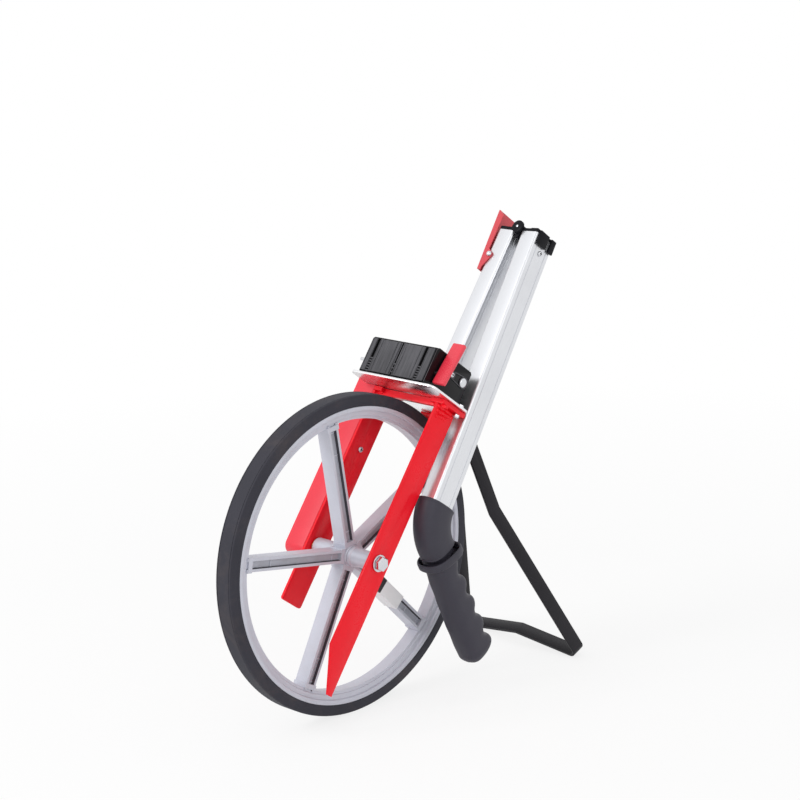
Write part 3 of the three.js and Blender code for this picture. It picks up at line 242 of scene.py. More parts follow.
def fitted(name, mesh, body, finishes, stands_for=None, slot=None, edge=0.0, segments=2, angle=35):
    """A piece on its body, smooth up to a crease, or with its edges rounded to the width given."""
    piece = bpy.data.objects.new(name, mesh)
    scene.collection.objects.link(piece)
    for material in finishes:
        mesh.materials.append(material)
    for face in mesh.polygons:
        face.use_smooth = True
    crease = 180 if edge else 30
    mesh.set_sharp_from_angle(angle=math.radians(crease))
    if edge:
        rounded = piece.modifiers.new("rounded_edges", "BEVEL")
        rounded.width = edge / 1000
        rounded.segments = segments
        rounded.limit_method = "ANGLE"
        rounded.angle_limit = math.radians(angle)
        rounded.harden_normals = True
    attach(piece, body)
    if stands_for:
        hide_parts(stands_for)


def made(shape, name, body, finishes, place, **extras):
    """A finished piece from a shape in millimetres, set in its place in the mesh itself."""
    bmesh.ops.remove_doubles(shape, verts=shape.verts, dist=0.0005)
    bmesh.ops.recalc_face_normals(shape, faces=shape.faces)
    bmesh.ops.transform(shape, matrix=place, verts=shape.verts)
    mesh = bpy.data.meshes.new(name)
    shape.to_mesh(mesh)
    shape.free()
    fitted(name, mesh, body, finishes, **extras)


def spun(profile, steps, shape=None, center=(0, 0, 0)):
    """A profile of (radius, y) turned about a line along Y. It closes on itself or starts on the line."""
    shape = shape or bmesh.new()
    x, y, z = center
    points = [shape.verts.new((x + radius, y + height, z)) for radius, height in profile]
    pairs = list(zip(points, points[1:]))
    if profile[0][0] > 0:
        pairs.append((points[-1], points[0]))
    edges = [shape.edges.new(pair) for pair in pairs]
    bmesh.ops.spin(shape, geom=points + edges, cent=center, axis=(0, 1, 0), angle=2 * math.pi, steps=steps,
                   use_merge=True)
    return shape


def both_sides(side):
    """A closed profile from its points on one side of the middle."""
    return side + [(radius, -y) for radius, y in reversed(side)]


tyre_inner, tread_radius, ring_steps = 148.105, 159.15, 180
tyre_line, tyre_line_width, tyre_line_depth, tyre_line_slope = 8.2, 0.5, 0.35, 0.1
line_floor, line_end = tread_radius - tyre_line_depth, tyre_line - tyre_line_width
tyre_side = [(tyre_inner, 11.1), (150.2, 10.95), (150.5, 10.7), (157.9, 10.1), (158.6, 9.85), (159.0, 9.3),
             (tread_radius, 8.75), (tread_radius, tyre_line), (line_floor, tyre_line - tyre_line_slope),
             (line_floor, line_end), (tread_radius, line_end - tyre_line_slope)]
tyre_rubber = finish(
    "tyre_rubber", mottle(patch=26, grain=1500, share=0.35), (0.026, 0.026, 0.036),
    (0.042, 0.041, 0.054), roughness=0.56, spread=0.14, bump=0.25, depth=0.0002, specular=0.25,
    dust_and_shade={"Dust And Shade Color": (0.12, 0.092, 0.085, 1), "Scale": 21.0, "Amount": 0.26})
made(spun(both_sides(tyre_side), ring_steps), "tyre_ring", "wheel", [tyre_rubber], axle_place,
     stands_for="tyre")

# Wheel: rim, five spokes and hub moulded together in silver grey plastic. The rim has a lip and two ledges.
# Each spoke is an I section. The groove on each of its faces is painted with shade, a darker grey floor with
# dark patches and near-black walls, with small moulding marks in it.
rim_side = [(150.0, 4.0), (147.8, 4.0), (147.8, 11.1), (147.2, 11.35), (143.9, 11.35), (143.3, 11.0),
            (142.7, 8.7), (142.2, 8.5), (139.0, 8.5), (138.4, 8.3), (137.9, 7.1), (137.4, 6.9), (135.5, 6.9),
            (135.2, 6.6)]
bolt_hole, hub_radius, hub_half, hub_chamfer = 4.3, 11.0, 10.3, 0.6
hub_side = [(bolt_hole, hub_half), (hub_radius - hub_chamfer, hub_half), (hub_radius, hub_half - hub_chamfer)]
spoke_phase, spoke_count, spoke_start, spoke_end = -223.9, 5, 6.0, 136.8
spoke_half, spoke_face = 6.5, 8.0
groove_half, groove_depth, groove_flare = 3.3, 3.4, 0.4
groove_floor = spoke_face - groove_depth
spoke_section = [(-spoke_half, -spoke_face), (-groove_half - groove_flare, -spoke_face),
                 (-groove_half, -groove_floor), (groove_half, -groove_floor),
                 (groove_half + groove_flare, -spoke_face), (spoke_half, -spoke_face)]
spoke_section += [(-x, -y) for x, y in spoke_section]
mark_places, mark_width, mark_sink, mark_rise = (24.0, 104.0, 127.0), 1.2, 0.2, 0.6
foot_places, foot_length = (hub_radius - 1, spoke_end - 6.5), 5.0
foot_half, foot_face = spoke_half + 0.9, spoke_face + 0.5
silver_plastic = finish(
    "silver_plastic", mottle(patch=34, grain=2600, share=0.55), (0.61, 0.62, 0.70),
    (0.51, 0.52, 0.59), roughness=0.33, spread=0.12, bump=0.12, metallic=0.15,
    dust_and_shade={"Dust And Shade Color": (0.42, 0.40, 0.41, 1), "Scale": 12.0, "Amount": 0.25})
# Painted shade for the spoke grooves: the floor finish is a darker grey with dark patches, and the wall
# finish is near black, a painted shadow.
groove_floor_painted_shade = finish(
    "groove_floor_painted_shade", mottle(patch=34, grain=2600, share=0.45), (0.52, 0.53, 0.60),
    (0.40, 0.41, 0.47), roughness=0.36, spread=0.12, bump=0.12, metallic=0.15, specular=0.4,
    dust_and_shade={"Dust And Shade Color": (0.22, 0.20, 0.21, 1), "Scale": 12.0, "Amount": 0.4})
groove_shade = finish(
    "groove_shade", mottle(patch=34, grain=2600, share=0.45), (0.055, 0.052, 0.066),
    (0.09, 0.085, 0.10), roughness=0.5, spread=0.12, bump=0.12, specular=0.2)


def drawn_out(shape, faces, along):
    """Faces drawn out along a vector, as a bar is from its section. What is new is given back."""
    fresh = bmesh.ops.extrude_face_region(shape, geom=faces, use_keep_orig=True)["geom"]
    tips = [part for part in fresh if isinstance(part, bmesh.types.BMVert)]
    bmesh.ops.translate(shape, vec=along, verts=tips)
    return fresh


def bar(shape, section, along):
    """A closed bar: a face through the points of its section, drawn out along a vector."""
    drawn_out(shape, [shape.faces.new([shape.verts.new(point) for point in section])], along)


def slab(shape, corner, opposite):
    """A block between two opposite corners."""
    low = Vector([min(pair) for pair in zip(corner, opposite)])
    high = Vector([max(pair) for pair in zip(corner, opposite)])
    size = Matrix.Diagonal((*(high - low), 1))
    return bmesh.ops.create_cube(shape, size=1, matrix=Matrix.Translation((low + high) / 2) @ size)["verts"]


def joined(shape, extra):
    """A second shape put into the first, with its faces turned outwards."""
    bmesh.ops.recalc_face_normals(extra, faces=extra.faces)
    spare = bpy.data.meshes.new("spare")
    extra.to_mesh(spare)
    extra.free()
    shape.from_mesh(spare)
    bpy.data.meshes.remove(spare)


wheel_shape = spun(both_sides(rim_side), ring_steps)
spun(both_sides(hub_side), steps=48, shape=wheel_shape)
for k in range(spoke_count):
    spoke = bmesh.new()
    bar(spoke, [(x, y, spoke_start) for x, y in spoke_section], (0, 0, spoke_end - spoke_start))
    # Faces in the groove take painted shade: the floor a darker grey, the walls near black.
    for face in spoke.faces:
        is_end, is_wall = abs(face.normal.z) > 0.5, abs(face.normal.x) > 0.5
        if abs(face.calc_center_median().x) < groove_half + groove_flare and not is_end:
            face.material_index = 2 if is_wall else 1
    for mark in mark_places:
        for side in (-1, 1):
            slab(spoke, (-groove_half, side * (groove_floor - mark_sink), mark),
                 (groove_half, side * (groove_floor + mark_rise), mark + mark_width))
    for foot in foot_places:
        slab(spoke, (-foot_half, -foot_face, foot), (foot_half, foot_face, foot + foot_length))
    turn = Matrix.Rotation(math.radians(spoke_phase - 360 / spoke_count * k), 3, "Y")
    bmesh.ops.rotate(spoke, cent=(0, 0, 0), matrix=turn, verts=spoke.verts)
    joined(wheel_shape, spoke)
made(wheel_shape, "wheel_moulding", "wheel", [silver_plastic, groove_floor_painted_shade, groove_shade], axle_place,
     stands_for="wheel_rim", edge=0.3)


# Sleeve: a thin white sheet wrapped round the lower rear spoke.
# It has a plain black band at its upper end.
def cad_copy(node, name, finishes, body, edge, **extras):
    """The CAD node's own shape as a piece, with its triangles joined and its edges rounded."""
    shape = bmesh.new()
    shape.from_mesh(nodes[node].data)
    bmesh.ops.remove_doubles(shape, verts=shape.verts, dist=0.000005)
    bmesh.ops.dissolve_limit(shape, angle_limit=math.radians(0.5), verts=shape.verts, edges=shape.edges,
                             use_dissolve_boundaries=False)
    mesh = bpy.data.meshes.new(name)
    shape.to_mesh(mesh)
    shape.free()
    fitted(name, mesh, body, finishes, stands_for=node, edge=edge, **extras)


sleeve_start = 49.6
band_half, band_face, band_start, band_end = 7.55, 9.05, sleeve_start + 1.5, sleeve_start + 9.0
white_sheet = finish(
    "white_sheet", mottle(patch=60, grain=1800, share=0.4), (0.86, 0.86, 0.87),
    (0.80, 0.80, 0.82), roughness=0.35, spread=0.1, bump=0.05)
black_film = finish(
    "black_film", mottle(patch=60, grain=1800, share=0.4), (0.020, 0.020, 0.022),
    (0.030, 0.030, 0.032), roughness=0.32, spread=0.1, bump=0.05)
cad_copy("spoke_sleeve", "sleeve", [white_sheet], "wheel", edge=0.35)
band = bmesh.new()
slab(band, (-band_half, -band_face, band_start), (band_half, band_face, band_end))
bmesh.ops.rotate(band, cent=(0, 0, 0), matrix=Matrix.Rotation(math.radians(spoke_phase), 3, "Y"),
                 verts=band.verts)
made(band, "sleeve_band", "wheel", [black_film], axle_place, edge=0.5)

# Axle: two moulded spacers beside the hub, a long hexagon bolt with its washer, and the nut behind the cover.
# Each spacer has a collar where it meets the hub. The bolt and nut are plated, and turn in two brass bushes.
hub_gap, collar_radius = 10.6, 10.2
spacer_profile = [(bolt_hole, 40.0), (8.4, 40.0), (9.0, 39.4), (9.0, 14.6), (9.6, 14.2),
                  (collar_radius, 13.6), (collar_radius, hub_gap + 0.4), (collar_radius - 0.4, hub_gap),
                  (bolt_hole, hub_gap)]
washer_profile = [(bolt_hole, -45.1), (8.2, -45.1), (8.5, -45.4), (8.5, -46.1), (8.2, -46.4),
                  (bolt_hole, -46.4)]
shank_profile = [(0.0, -46.0), (4.0, -46.0), (4.0, 67.6), (3.4, 68.4), (0.0, 68.4)]
bright_steel = finish(
    "bright_steel", mottle(patch=160, grain=2400, share=0.4), (0.74, 0.75, 0.78),
    (0.60, 0.61, 0.64), roughness=0.18, spread=0.16, bump=0.15, metallic=1.0)
turned_brass = finish(
    "turned_brass", mottle(patch=120, grain=2000, share=0.4), (0.62, 0.42, 0.16),
    (0.50, 0.33, 0.12), roughness=0.25, spread=0.15, bump=0.1, metallic=1.0)
for name, side in (("near_spacer", -1), ("far_spacer", 1)):
    made(spun([(radius, side * y) for radius, y in spacer_profile], steps=48), name + "_turned", "wheel",
         [silver_plastic], axle_place, stands_for=name)


def hexagon(shape, across, start, end, crown):
    """A hexagon along Y, its edges cut back at the end as a pressed head's are."""
    radius = across / 2 / math.cos(math.pi / 6)
    ring = bmesh.ops.create_circle(shape, segments=6, radius=radius, cap_ends=True)["verts"]
    turn = Matrix.Translation((0, start, 0)) @ Matrix.Rotation(math.pi / 2, 4, "X")
    bmesh.ops.transform(shape, matrix=turn, verts=ring)
    fresh = drawn_out(shape, [ring[0].link_faces[0]], (0, end - start, 0))
    top = next(part for part in fresh if isinstance(part, bmesh.types.BMFace))
    bmesh.ops.bevel(shape, geom=list(top.edges), offset=crown, segments=1, profile=0.5, affect="EDGES",
                    material=-1)


bolt = bmesh.new()
hexagon(bolt, across=13.0, start=-46.7, end=-51.7, crown=0.9)
spun(shank_profile, steps=32, shape=bolt)
made(bolt, "axle_bolt_turned", "wheel", [bright_steel], axle_place, stands_for="axle_bolt", edge=0.3,
     angle=20)
made(spun(washer_profile, steps=48), "washer", "wheel", [bright_steel], axle_place, stands_for="axle_washer")
cad_copy("axle_nut", "axle_nut_plated", [bright_steel], "wheel", edge=0.5)
for name in ("near_bush", "far_bush"):
    cad_copy(name, name + "_turned", [turned_brass], "frame", edge=0.15)

# Belt drive: two black pulleys and a toothed rubber belt, shut in behind the cover.
# Only their ends can be seen, past the cover's open side.
fork_place = Matrix.Translation((0, 0, wheel_radius / 1000)) @ Matrix.Rotation(lean, 4, "Y") @ millimetres
black_nylon = finish(
    "black_nylon", mottle(patch=40, grain=1500, share=0.5), (0.022, 0.022, 0.024),
    (0.034, 0.034, 0.037), roughness=0.42, spread=0.14, bump=0.15)
belt_rubber = finish(
    "belt_rubber", mottle(patch=50, grain=1200, share=0.6), (0.018, 0.018, 0.019),
    (0.032, 0.031, 0.031), roughness=0.68, spread=0.12, bump=0.3, depth=0.0002, specular=0.4)
cad_copy("axle_pulley", "axle_pulley_moulded", [black_nylon], "wheel", edge=0.2)
cad_copy("counter_pulley", "counter_pulley_moulded", [black_nylon], "counter_input", edge=0.2)
cad_copy("drive_belt", "belt", [belt_rubber], "frame", edge=0.2)
cad_copy("input_shaft", "input_shaft_turned", [bright_steel], "counter_input", edge=0.2)
cad_copy("drum_shaft", "drum_shaft_turned", [bright_steel], "frame", edge=0.2)

# Fork arms: two flat steel bars in thick glossy red powder coat, with rounded edges.
# The near one ends in a point below the axle, and the far one stops short.
red_coat = finish(
    "red_coat", mottle(patch=30, grain=520, share=0.35), (0.95, 0.008, 0.022),
    (0.86, 0.006, 0.017), roughness=0.24, spread=0.14, bump=0.22, depth=0.0003, specular=0.2,
    shader={"Coat Weight": 0.08, "Coat Roughness": 0.10})
cad_copy("near_fork_arm", "near_arm", [red_coat], "frame", edge=0.8, segments=3)
cad_copy("far_fork_arm", "far_arm", [red_coat], "frame", edge=0.8, segments=3)

# Crown: the welded frame under the deck. Thick lumpy weld beads join it to the arms, under the same red coat.
# Plated bolts and nuts hold the deck and the counter down.
cad_copy("fork_crown", "crown", [red_coat], "frame", edge=0.5)
chance = random.Random(7)
arm_outer, arm_inner, short_run = 44.7, 41.7, (36, 41)
lump_length, lump_width, lump_least, lump_most = 1.15, 0.9, 0.8, 1.2


def beads(shape, start, end, radius, pitch=2.6, spread=0.35):
    """A run of overlapping lumps from start to end, as a weld leaves them."""
    start, end = Vector(start), Vector(end)
    count = max(2, round((end - start).length / pitch))
    for k in range(count + 1):
        place = start.lerp(end, k / count) + Vector([chance.uniform(-spread, spread) for _ in range(3)])
        size = radius * chance.uniform(lump_least, lump_most)
        turn = Matrix.Rotation(chance.uniform(0, 3.1), 4, "Z")
        lump = Matrix.Diagonal((size * lump_length, size * lump_width, size, 1))
        bmesh.ops.create_icosphere(shape, subdivisions=3, radius=1,
                                   matrix=Matrix.Translation(place) @ turn @ lump)


# The start and end of each run on the near arm, then the size, pitch and unevenness of its lumps.
near_runs = (((-11.5, 0.3 - arm_outer, 163.9), (11.5, 0.3 - arm_outer, 164.6), 2.4, 2.9, 0.45),
             ((-10.5, 0.5 - arm_outer, 159.4), (9, 0.5 - arm_outer, 160.8), 2.2, 3.1, 0.5),
             ((-8.5, 0.6 - arm_outer, 154.8), (3, 0.6 - arm_outer, 156.4), 2.0, 3.2, 0.5),
             ((-9.0, -5.0 - arm_outer, 166.2), (-9.0, 6.5 - arm_outer, 166.4), 1.9))
welds = bmesh.new()
for run in near_runs:
    beads(welds, *run)
for side in (-1, 1):
    beads(welds, (-10, side * arm_inner, 164.6), (12, side * arm_inner, 165.2), 2.0)
    beads(welds, (-10.0, side * short_run[0], 166.0), (-10.0, side * short_run[1], 165.8), 1.2, 1.8, 0.15)
made(welds, "crown_welds", "frame", [red_coat], fork_place)
for name in ("deck_bolt", "deck_nut", "counter_bolt"):
    cad_copy(name, name + "_plated", [bright_steel], "frame", edge=0.3, angle=42)


# Deck: a bright aluminium plate with rounded corners, finely streaked by rolling.
# A tongue behind it carries the handle bracket.
def drawn_group():
    shared, given = skin_group("drawn_metal", {"Turn": "Vector", "Stretch": "Vector"})
    spot = object_place(shared)
    turned = add(shared, "ShaderNodeMapping", {"Vector": spot, "Rotation": given["Turn"]})
    lines = add(shared, "ShaderNodeVectorMath", {0: turned.outputs[0], 1: given["Stretch"]},
                operation="MULTIPLY")
    streak = noise(shared, lines.outputs[0], 1.0, Detail=4.0)
    cloud = noise(shared, spot, 14.0, Detail=4.0)
    both = maths(shared, "ADD", ranged(shared, streak, 0.32, 0.68), ranged(shared, cloud, 0.35, 0.65))
    return skin_out(shared, given, maths(shared, "MULTIPLY", both, 0.5), streak)


drawn = drawn_group()


def streaks(*stretch):
    """Fine streaks laid along the fork's own axes, closer together where the stretch is larger."""
    return drawn, {"Turn": (0.0, -lean, 0.0), "Stretch": stretch}


rolled_sheet = finish(
    "rolled_sheet", streaks(40, 1400, 40), (0.88, 0.88, 0.90), (0.80, 0.80, 0.82),
    roughness=0.22, spread=0.12, bump=0.06, metallic=1.0)
cad_copy("deck_plate", "deck", [rolled_sheet], "frame", edge=0.5)

# Belt cover: a deep channel of satin red plastic with rounded ends, over the belt on the far arm.
# Two cross screws hold it to the arm from inside.
red_shell = finish(
    "red_shell", mottle(patch=26, grain=1300, share=0.5), (0.88, 0.030, 0.060),
    (0.78, 0.022, 0.046), roughness=0.36, spread=0.12, bump=0.12)
# Painted shade for the cross recess in the screw heads: a near-black metal finish.
screw_recess_shade = finish(
    "screw_recess_painted_shade", mottle(patch=200, grain=2000, share=0.4), (0.03, 0.03, 0.033),
    (0.05, 0.05, 0.055), roughness=0.5, spread=0.1, bump=0.1, metallic=0.6)
cad_copy("belt_cover", "cover_shell", [red_shell], "frame", edge=0.7, segments=3)
screw_shares = [(0.0, 1.0), (0.45, 0.97), (0.75, 0.82), (0.93, 0.52), (1.0, 0.2), (1.0, 0.0), (0.0, 0.0)]
cross_long_share, cross_wide_share, cross_foot_share, cross_top_share = 0.62, 0.15, 0.6, 1.005


def dome(shape, shares, center, radius, height, side, steps):
    """A round head on a face square to Y, from shares of its radius and height."""
    spun([(radius * out, side * height * up) for out, up in shares], steps, shape, center)


def cross_screw(shape, center, radius, height, side):
    """A domed screw head with a cross let into its top, painted dark for the shade in its recess."""
    dome(shape, screw_shares, center, radius, height, side, steps=32)
    x, y, z = center
    foot, top = y + side * height * cross_foot_share, y + side * height * cross_top_share
    marks = []
    for long, wide in ((cross_long_share, cross_wide_share), (cross_wide_share, cross_long_share)):
        marks += slab(shape, (x - radius * long, foot, z - radius * wide),
                      (x + radius * long, top, z + radius * wide))
    # The cross's faces take the second finish, the painted shade of the recess.
    for vert in marks:
        for face in vert.link_faces:
            face.material_index = 1


def rod(shape, radius, start, end, center=(0, 0, 0), steps=32, tip=0.0):
    """A round rod along Y. Its end may rise to a blunt tip."""
    spun([(0.0, start), (radius, start), (radius, end), (0.0, end + tip)], steps, shape, center)


cover_screw_face = 41.4
for name, height in (("lower_cover_screw", 106.5), ("upper_cover_screw", 152.5)):
    screw = bmesh.new()
    place = (0, cover_screw_face, height)
    cross_screw(screw, place, radius=3.0, height=1.7, side=-1)
    rod(screw, radius=1.5, start=0.0, end=12.2, center=place, steps=24, tip=0.4)
    made(screw, name + "_plated", "frame", [bright_steel, screw_recess_shade], fork_place, stands_for=name)

# Counter: a satin black box with a panel behind it and a clear pane on top. Its front has four raised panels
# round three slots, open above and barred below. The slots are made to look black with painted shade:
# near-black sheets a little way inside them, and the case's near-black finish between the panels. A glossy
# cover closes the near side, and a raised line in the shape of a drop runs round a large rivet and a small
# screw on it.
satin_black = finish(
    "satin_black", streaks(500, 1100, 40), (0.022, 0.022, 0.026), (0.118, 0.116, 0.130),
    roughness=0.32, spread=0.22, bump=0.16, specular=0.35)
piano_black = finish(
    "piano_black", mottle(patch=30, grain=900, share=0.3), (0.004, 0.004, 0.005),
    (0.007, 0.007, 0.009), roughness=0.12, spread=0.08, bump=0.04, specular=0.16)
# Painted shade for the slots: a near-black finish for the case between the panels and for the sheets inside
# the slots.
slot_shade_black = finish(
    "slot_shade_black", mottle(patch=40, grain=1200, share=0.4), (0.002, 0.002, 0.0025),
    (0.004, 0.004, 0.005), roughness=0.5, spread=0.2, bump=0.1, specular=0.08)
clear_pane = finish(
    "clear_pane", mottle(patch=60, grain=900, share=0.3), (0.95, 0.97, 0.97), (0.90, 0.93, 0.93),
    roughness=0.02, spread=0.03, bump=0.02, shader={"Transmission Weight": 1.0, "IOR": 1.49})
cad_copy("counter_case", "case_shell", [slot_shade_black], "frame", edge=0.5)
cad_copy("counter_back", "case_back", [black_nylon], "frame", edge=0.3)
cad_copy("counter_side_cover", "case_side", [piano_black], "frame", edge=0.45, segments=3)
cad_copy("counter_window", "window_pane", [clear_pane], "frame", edge=0.25)

case_face, panel_low, panel_high, panel_rise = -44.0, 174.955, 209.855, 0.8
panel_face, panel_seat, strip_seat = case_face - panel_rise, case_face + 0.3, case_face + 0.2
panel_ends = ((42.9, 36.9), (32.6, 3.9), (-0.3, -29.1), (-33.3, -42.0))
wide_panel, far_line_share, near_line_share = 20, 0.13, 0.16
line_inset, line_half, line_top, line_seat = 0.5, 0.3, panel_face - 0.45, panel_face + 0.2
corner_strip = (-44.3, -43.8)
slot_places = (34.7, 1.8, -31.2)
lip_inner, lip_outer = 0.9, 2.1
panels = bmesh.new()
for far_end, near_end in panel_ends:
    slab(panels, (panel_face, near_end, panel_low), (panel_seat, far_end, panel_high))
    width = far_end - near_end
    lines = [far_end - line_inset, near_end + line_inset]
    if width > wide_panel:
        lines += [far_end - far_line_share * width, near_end + near_line_share * width]
    for line in lines:
        slab(panels, (line_top, line - line_half, panel_low + line_inset),
             (line_seat, line + line_half, panel_high - line_inset))
slab(panels, (panel_face, corner_strip[0], panel_low), (strip_seat, corner_strip[1], panel_high))
for side in (-1, 1):
    slab(panels, (case_face - panel_rise / 2, slot_places[1] + side * lip_inner, panel_low),
         (panel_seat, slot_places[1] + side * lip_outer, panel_high))
made(panels, "case_panels", "frame", [satin_black], fork_place, edge=0.2)

bar_face, bar_back, bar_height = case_face - 0.5, case_face + 1.15, 1.3
wide_bars, narrow_bars = (2.1, 189.5, 2.7, 6), (1.2, 187.5, 4.2, 3)
bars = bmesh.new()
for place, (half, top, pitch, count) in zip(slot_places, (wide_bars, narrow_bars, wide_bars)):
    for k in range(count):
        low = top - pitch * k
        slab(bars, (bar_face, place - half, low - bar_height), (bar_back, place + half, low))
made(bars, "slot_bars", "frame", [satin_black], fork_place, edge=0.15)
# Painted shade: a near-black sheet stands a little way inside each slot, so that the slot looks dark.
shade_sheet_face, shade_sheet_back, shade_sheet_half = case_face + 3.4, case_face + 3.9, 4.5
shade_sheet_low, shade_sheet_high = panel_low + 1.5, panel_high - 2.0
shade_sheets = bmesh.new()
for place in slot_places:
    slab(shade_sheets, (shade_sheet_face, place - shade_sheet_half, shade_sheet_low),
         (shade_sheet_back, place + shade_sheet_half, shade_sheet_high))
made(shade_sheets, "slot_shade_sheets", "frame", [slot_shade_black], fork_place)

rivet_shares = [(0.0, 1.0), (0.35, 0.98), (0.62, 0.88), (0.82, 0.68), (0.95, 0.4), (1.0, 0.12), (1.0, 0.0),
                (0.0, 0.0)]
ring_width, ring_rise, ring_sink = 0.9, 0.75, 0.2


def domed_rivet(shape, center, radius, height, side):
    dome(shape, rivet_shares, center, radius, height, side, steps=40)


def drop_outline(shape, face, side, small, large, height):
    """A raised line in the shape of a drop, round a small and a large circle, given as (x, radius)."""
    low, high = sorted((face - side * ring_sink, face + side * ring_rise))
    for x, radius in (small, large):
        inner = radius - ring_width
        spun([(inner, low), (radius, low), (radius, high), (inner, high)], steps=48, shape=shape,
             center=(x, 0, height))
    span = large[0] - small[0]
    slope = math.asin((large[1] - small[1]) / span)
    for up in (-1, 1):
        rib = bmesh.new()
        slab(rib, (0, low, -ring_width), (span * math.cos(slope), high, 0))
        start = (small[0] - math.sin(slope) * small[1], 0, height + up * math.cos(slope) * small[1])
        form = Matrix.Translation(start) @ Matrix.Diagonal((1, 1, up, 1)) @ Matrix.Rotation(-slope, 4, "Y")
        bmesh.ops.transform(rib, matrix=form, verts=rib.verts)
        joined(shape, rib)


side_face, side_height, side_screw, side_rivet = -44.5, 198.15, -11.1, 7.1
side_ribs = bmesh.new()
drop_outline(side_ribs, side_face, -1, small=(side_screw, 3.9), large=(side_rivet, 6.0), height=side_height)
made(side_ribs, "case_side_ribs", "frame", [satin_black], fork_place, slot="gloss_black", edge=0.2)
side_fixings = bmesh.new()
domed_rivet(side_fixings, (side_rivet, side_face, side_height), radius=5.0, height=1.6, side=-1)
cross_screw(side_fixings, (side_screw, side_face, side_height), radius=2.6, height=0.95, side=-1)
made(side_fixings, "case_side_fixings", "frame", [bright_steel, screw_recess_shade], fork_place)

# Number drums: white wheels with black figures, units on the belt side, read through the pane.
# Each turns a tenth as far as the one before it.
drum_radius, drum_half, drum_lead, drum_pitch, counter_height = 11.25, 5.2, 24.0, 11.6, 195.055
drum_shoulder, drum_chamfer, units_bore, drum_bore = 10.8, 0.5, 3.3, 2.9
figure_size, figure_lift, figure_half_thickness = 7.2, 0.06, 0.12


def figure(shape, text, center_y, turn):
    """A flat figure, cut into strips and wrapped round the drum, its foot towards the reader."""
    curve = bpy.data.curves.new("figure", "FONT")
    curve.body = text
    curve.size = figure_size
    curve.align_x = "CENTER"
    curve.align_y = "CENTER"
    curve.extrude = figure_half_thickness
    source = bpy.data.objects.new("figure", curve)
    scene.collection.objects.link(source)
    bpy.context.view_layer.update()
    mesh = bpy.data.meshes.new_from_object(source.evaluated_get(bpy.context.evaluated_depsgraph_get()))
    flat = bmesh.new()
    flat.from_mesh(mesh)
    bmesh.ops.remove_doubles(flat, verts=flat.verts, dist=0.001)
    for cut in range(-3, 4):
        bmesh.ops.bisect_plane(flat, geom=list(flat.verts) + list(flat.edges) + list(flat.faces),
                               plane_co=(0, cut, 0), plane_no=(0, 1, 0))
    for vert in flat.verts:
        angle = turn + vert.co.y / drum_radius
        reach = drum_radius + figure_lift + vert.co.z
        vert.co = Vector((-math.sin(angle) * reach, center_y + vert.co.x,
                          counter_height + math.cos(angle) * reach))
    flat.to_mesh(mesh)
    flat.free()
    for face in mesh.polygons:
        face.material_index = 1
    shape.from_mesh(mesh)
    bpy.data.objects.remove(source)
    bpy.data.curves.remove(curve)
    bpy.data.meshes.remove(mesh)


for k, body in enumerate(("counter_input", "drum_2", "drum_3", "drum_4", "drum_5")):
    middle = drum_lead - drum_pitch * k
    bore = units_bore if k == 0 else drum_bore
    drum_side = [(bore, -drum_half), (drum_shoulder, -drum_half), (drum_radius, drum_chamfer - drum_half)]
    drum = spun(both_sides(drum_side), steps=60, center=(0, middle, counter_height))
    for number in range(10):
        figure(drum, str(number), middle, math.radians(36 * number))
    made(drum, "figure_drum_%d" % (k + 1), body, [white_sheet, black_film], fork_place,
         stands_for="number_drum_%d" % (k + 1))

# Reset lever: a rounded red block on the end of a steel shaft through the counter. It leans back a little.
# The shaft's other end shows as a short stub.
lever_lean = math.asin(4.1 / 34.7)
lever_half, lever_outer, lever_inner, lever_foot, lever_top = 2.5, -61.9, -45.7, -12.0, 34.7
reset_shaft_profile = [(0.0, -58.0), (1.7, -58.0), (1.7, 60.6), (1.3, 61.0), (0.0, 61.0)]
reset_place = Matrix.Translation((-32.0, 0.0, 190.055))
red_lever = finish(
    "red_lever", mottle(patch=26, grain=1300, share=0.5), (0.82, 0.040, 0.072),
    (0.74, 0.032, 0.058), roughness=0.20, spread=0.12, bump=0.10, specular=0.6)
lever = bmesh.new()
slab(lever, (-lever_half, lever_outer, lever_foot), (lever_half, lever_inner, lever_top))
bmesh.ops.transform(lever, matrix=reset_place @ Matrix.Rotation(lever_lean, 4, "Y"), verts=lever.verts)
made(lever, "lever_block", "reset", [red_lever], fork_place, stands_for="reset_lever", edge=1.9, segments=5)
made(spun(reset_shaft_profile, steps=24, center=reset_place.translation), "reset_shaft_turned", "reset",
     [bright_steel], fork_place, stands_for="reset_shaft")

# Handle bracket: a satin black block with a deep pocket for the lower tube, held by a bolt and a screw.
# On each side a raised line in the shape of a drop runs round both, and the screw is on the near side only.
moulded_black = finish(
    "moulded_black", mottle(patch=36, grain=1700, share=0.5), (0.005, 0.005, 0.007),
    (0.012, 0.012, 0.016), roughness=0.30, spread=0.16, bump=0.14, specular=0.09)
cad_copy("handle_bracket", "bracket_block", [moulded_black], "frame", edge=0.5, segments=3)
bracket_side, bolt_x, screw_x, bolt_z = 13.95, 40.3, 26.7, 210.755
bolt_seat, screw_seat = bracket_side + 0.3, -14.2
ribs = bmesh.new()
bolt = bmesh.new()
for side in (-1, 1):
    drop_outline(ribs, side * bracket_side, side, small=(screw_x, 4.1), large=(bolt_x, 6.4), height=bolt_z)
    domed_rivet(bolt, (bolt_x, side * bolt_seat, bolt_z), radius=4.6, height=1.9, side=side)
rod(bolt, radius=3.0, start=-14.4, end=14.4, center=(bolt_x, 0, bolt_z))
screw = bmesh.new()
cross_screw(screw, (screw_x, screw_seat, bolt_z), radius=2.3, height=1.1, side=-1)
rod(screw, radius=1.2, start=-14.3, end=-8.8, center=(screw_x, 0, bolt_z), steps=20, tip=0.1)
made(ribs, "bracket_ribs", "frame", [moulded_black], fork_place, edge=0.2)
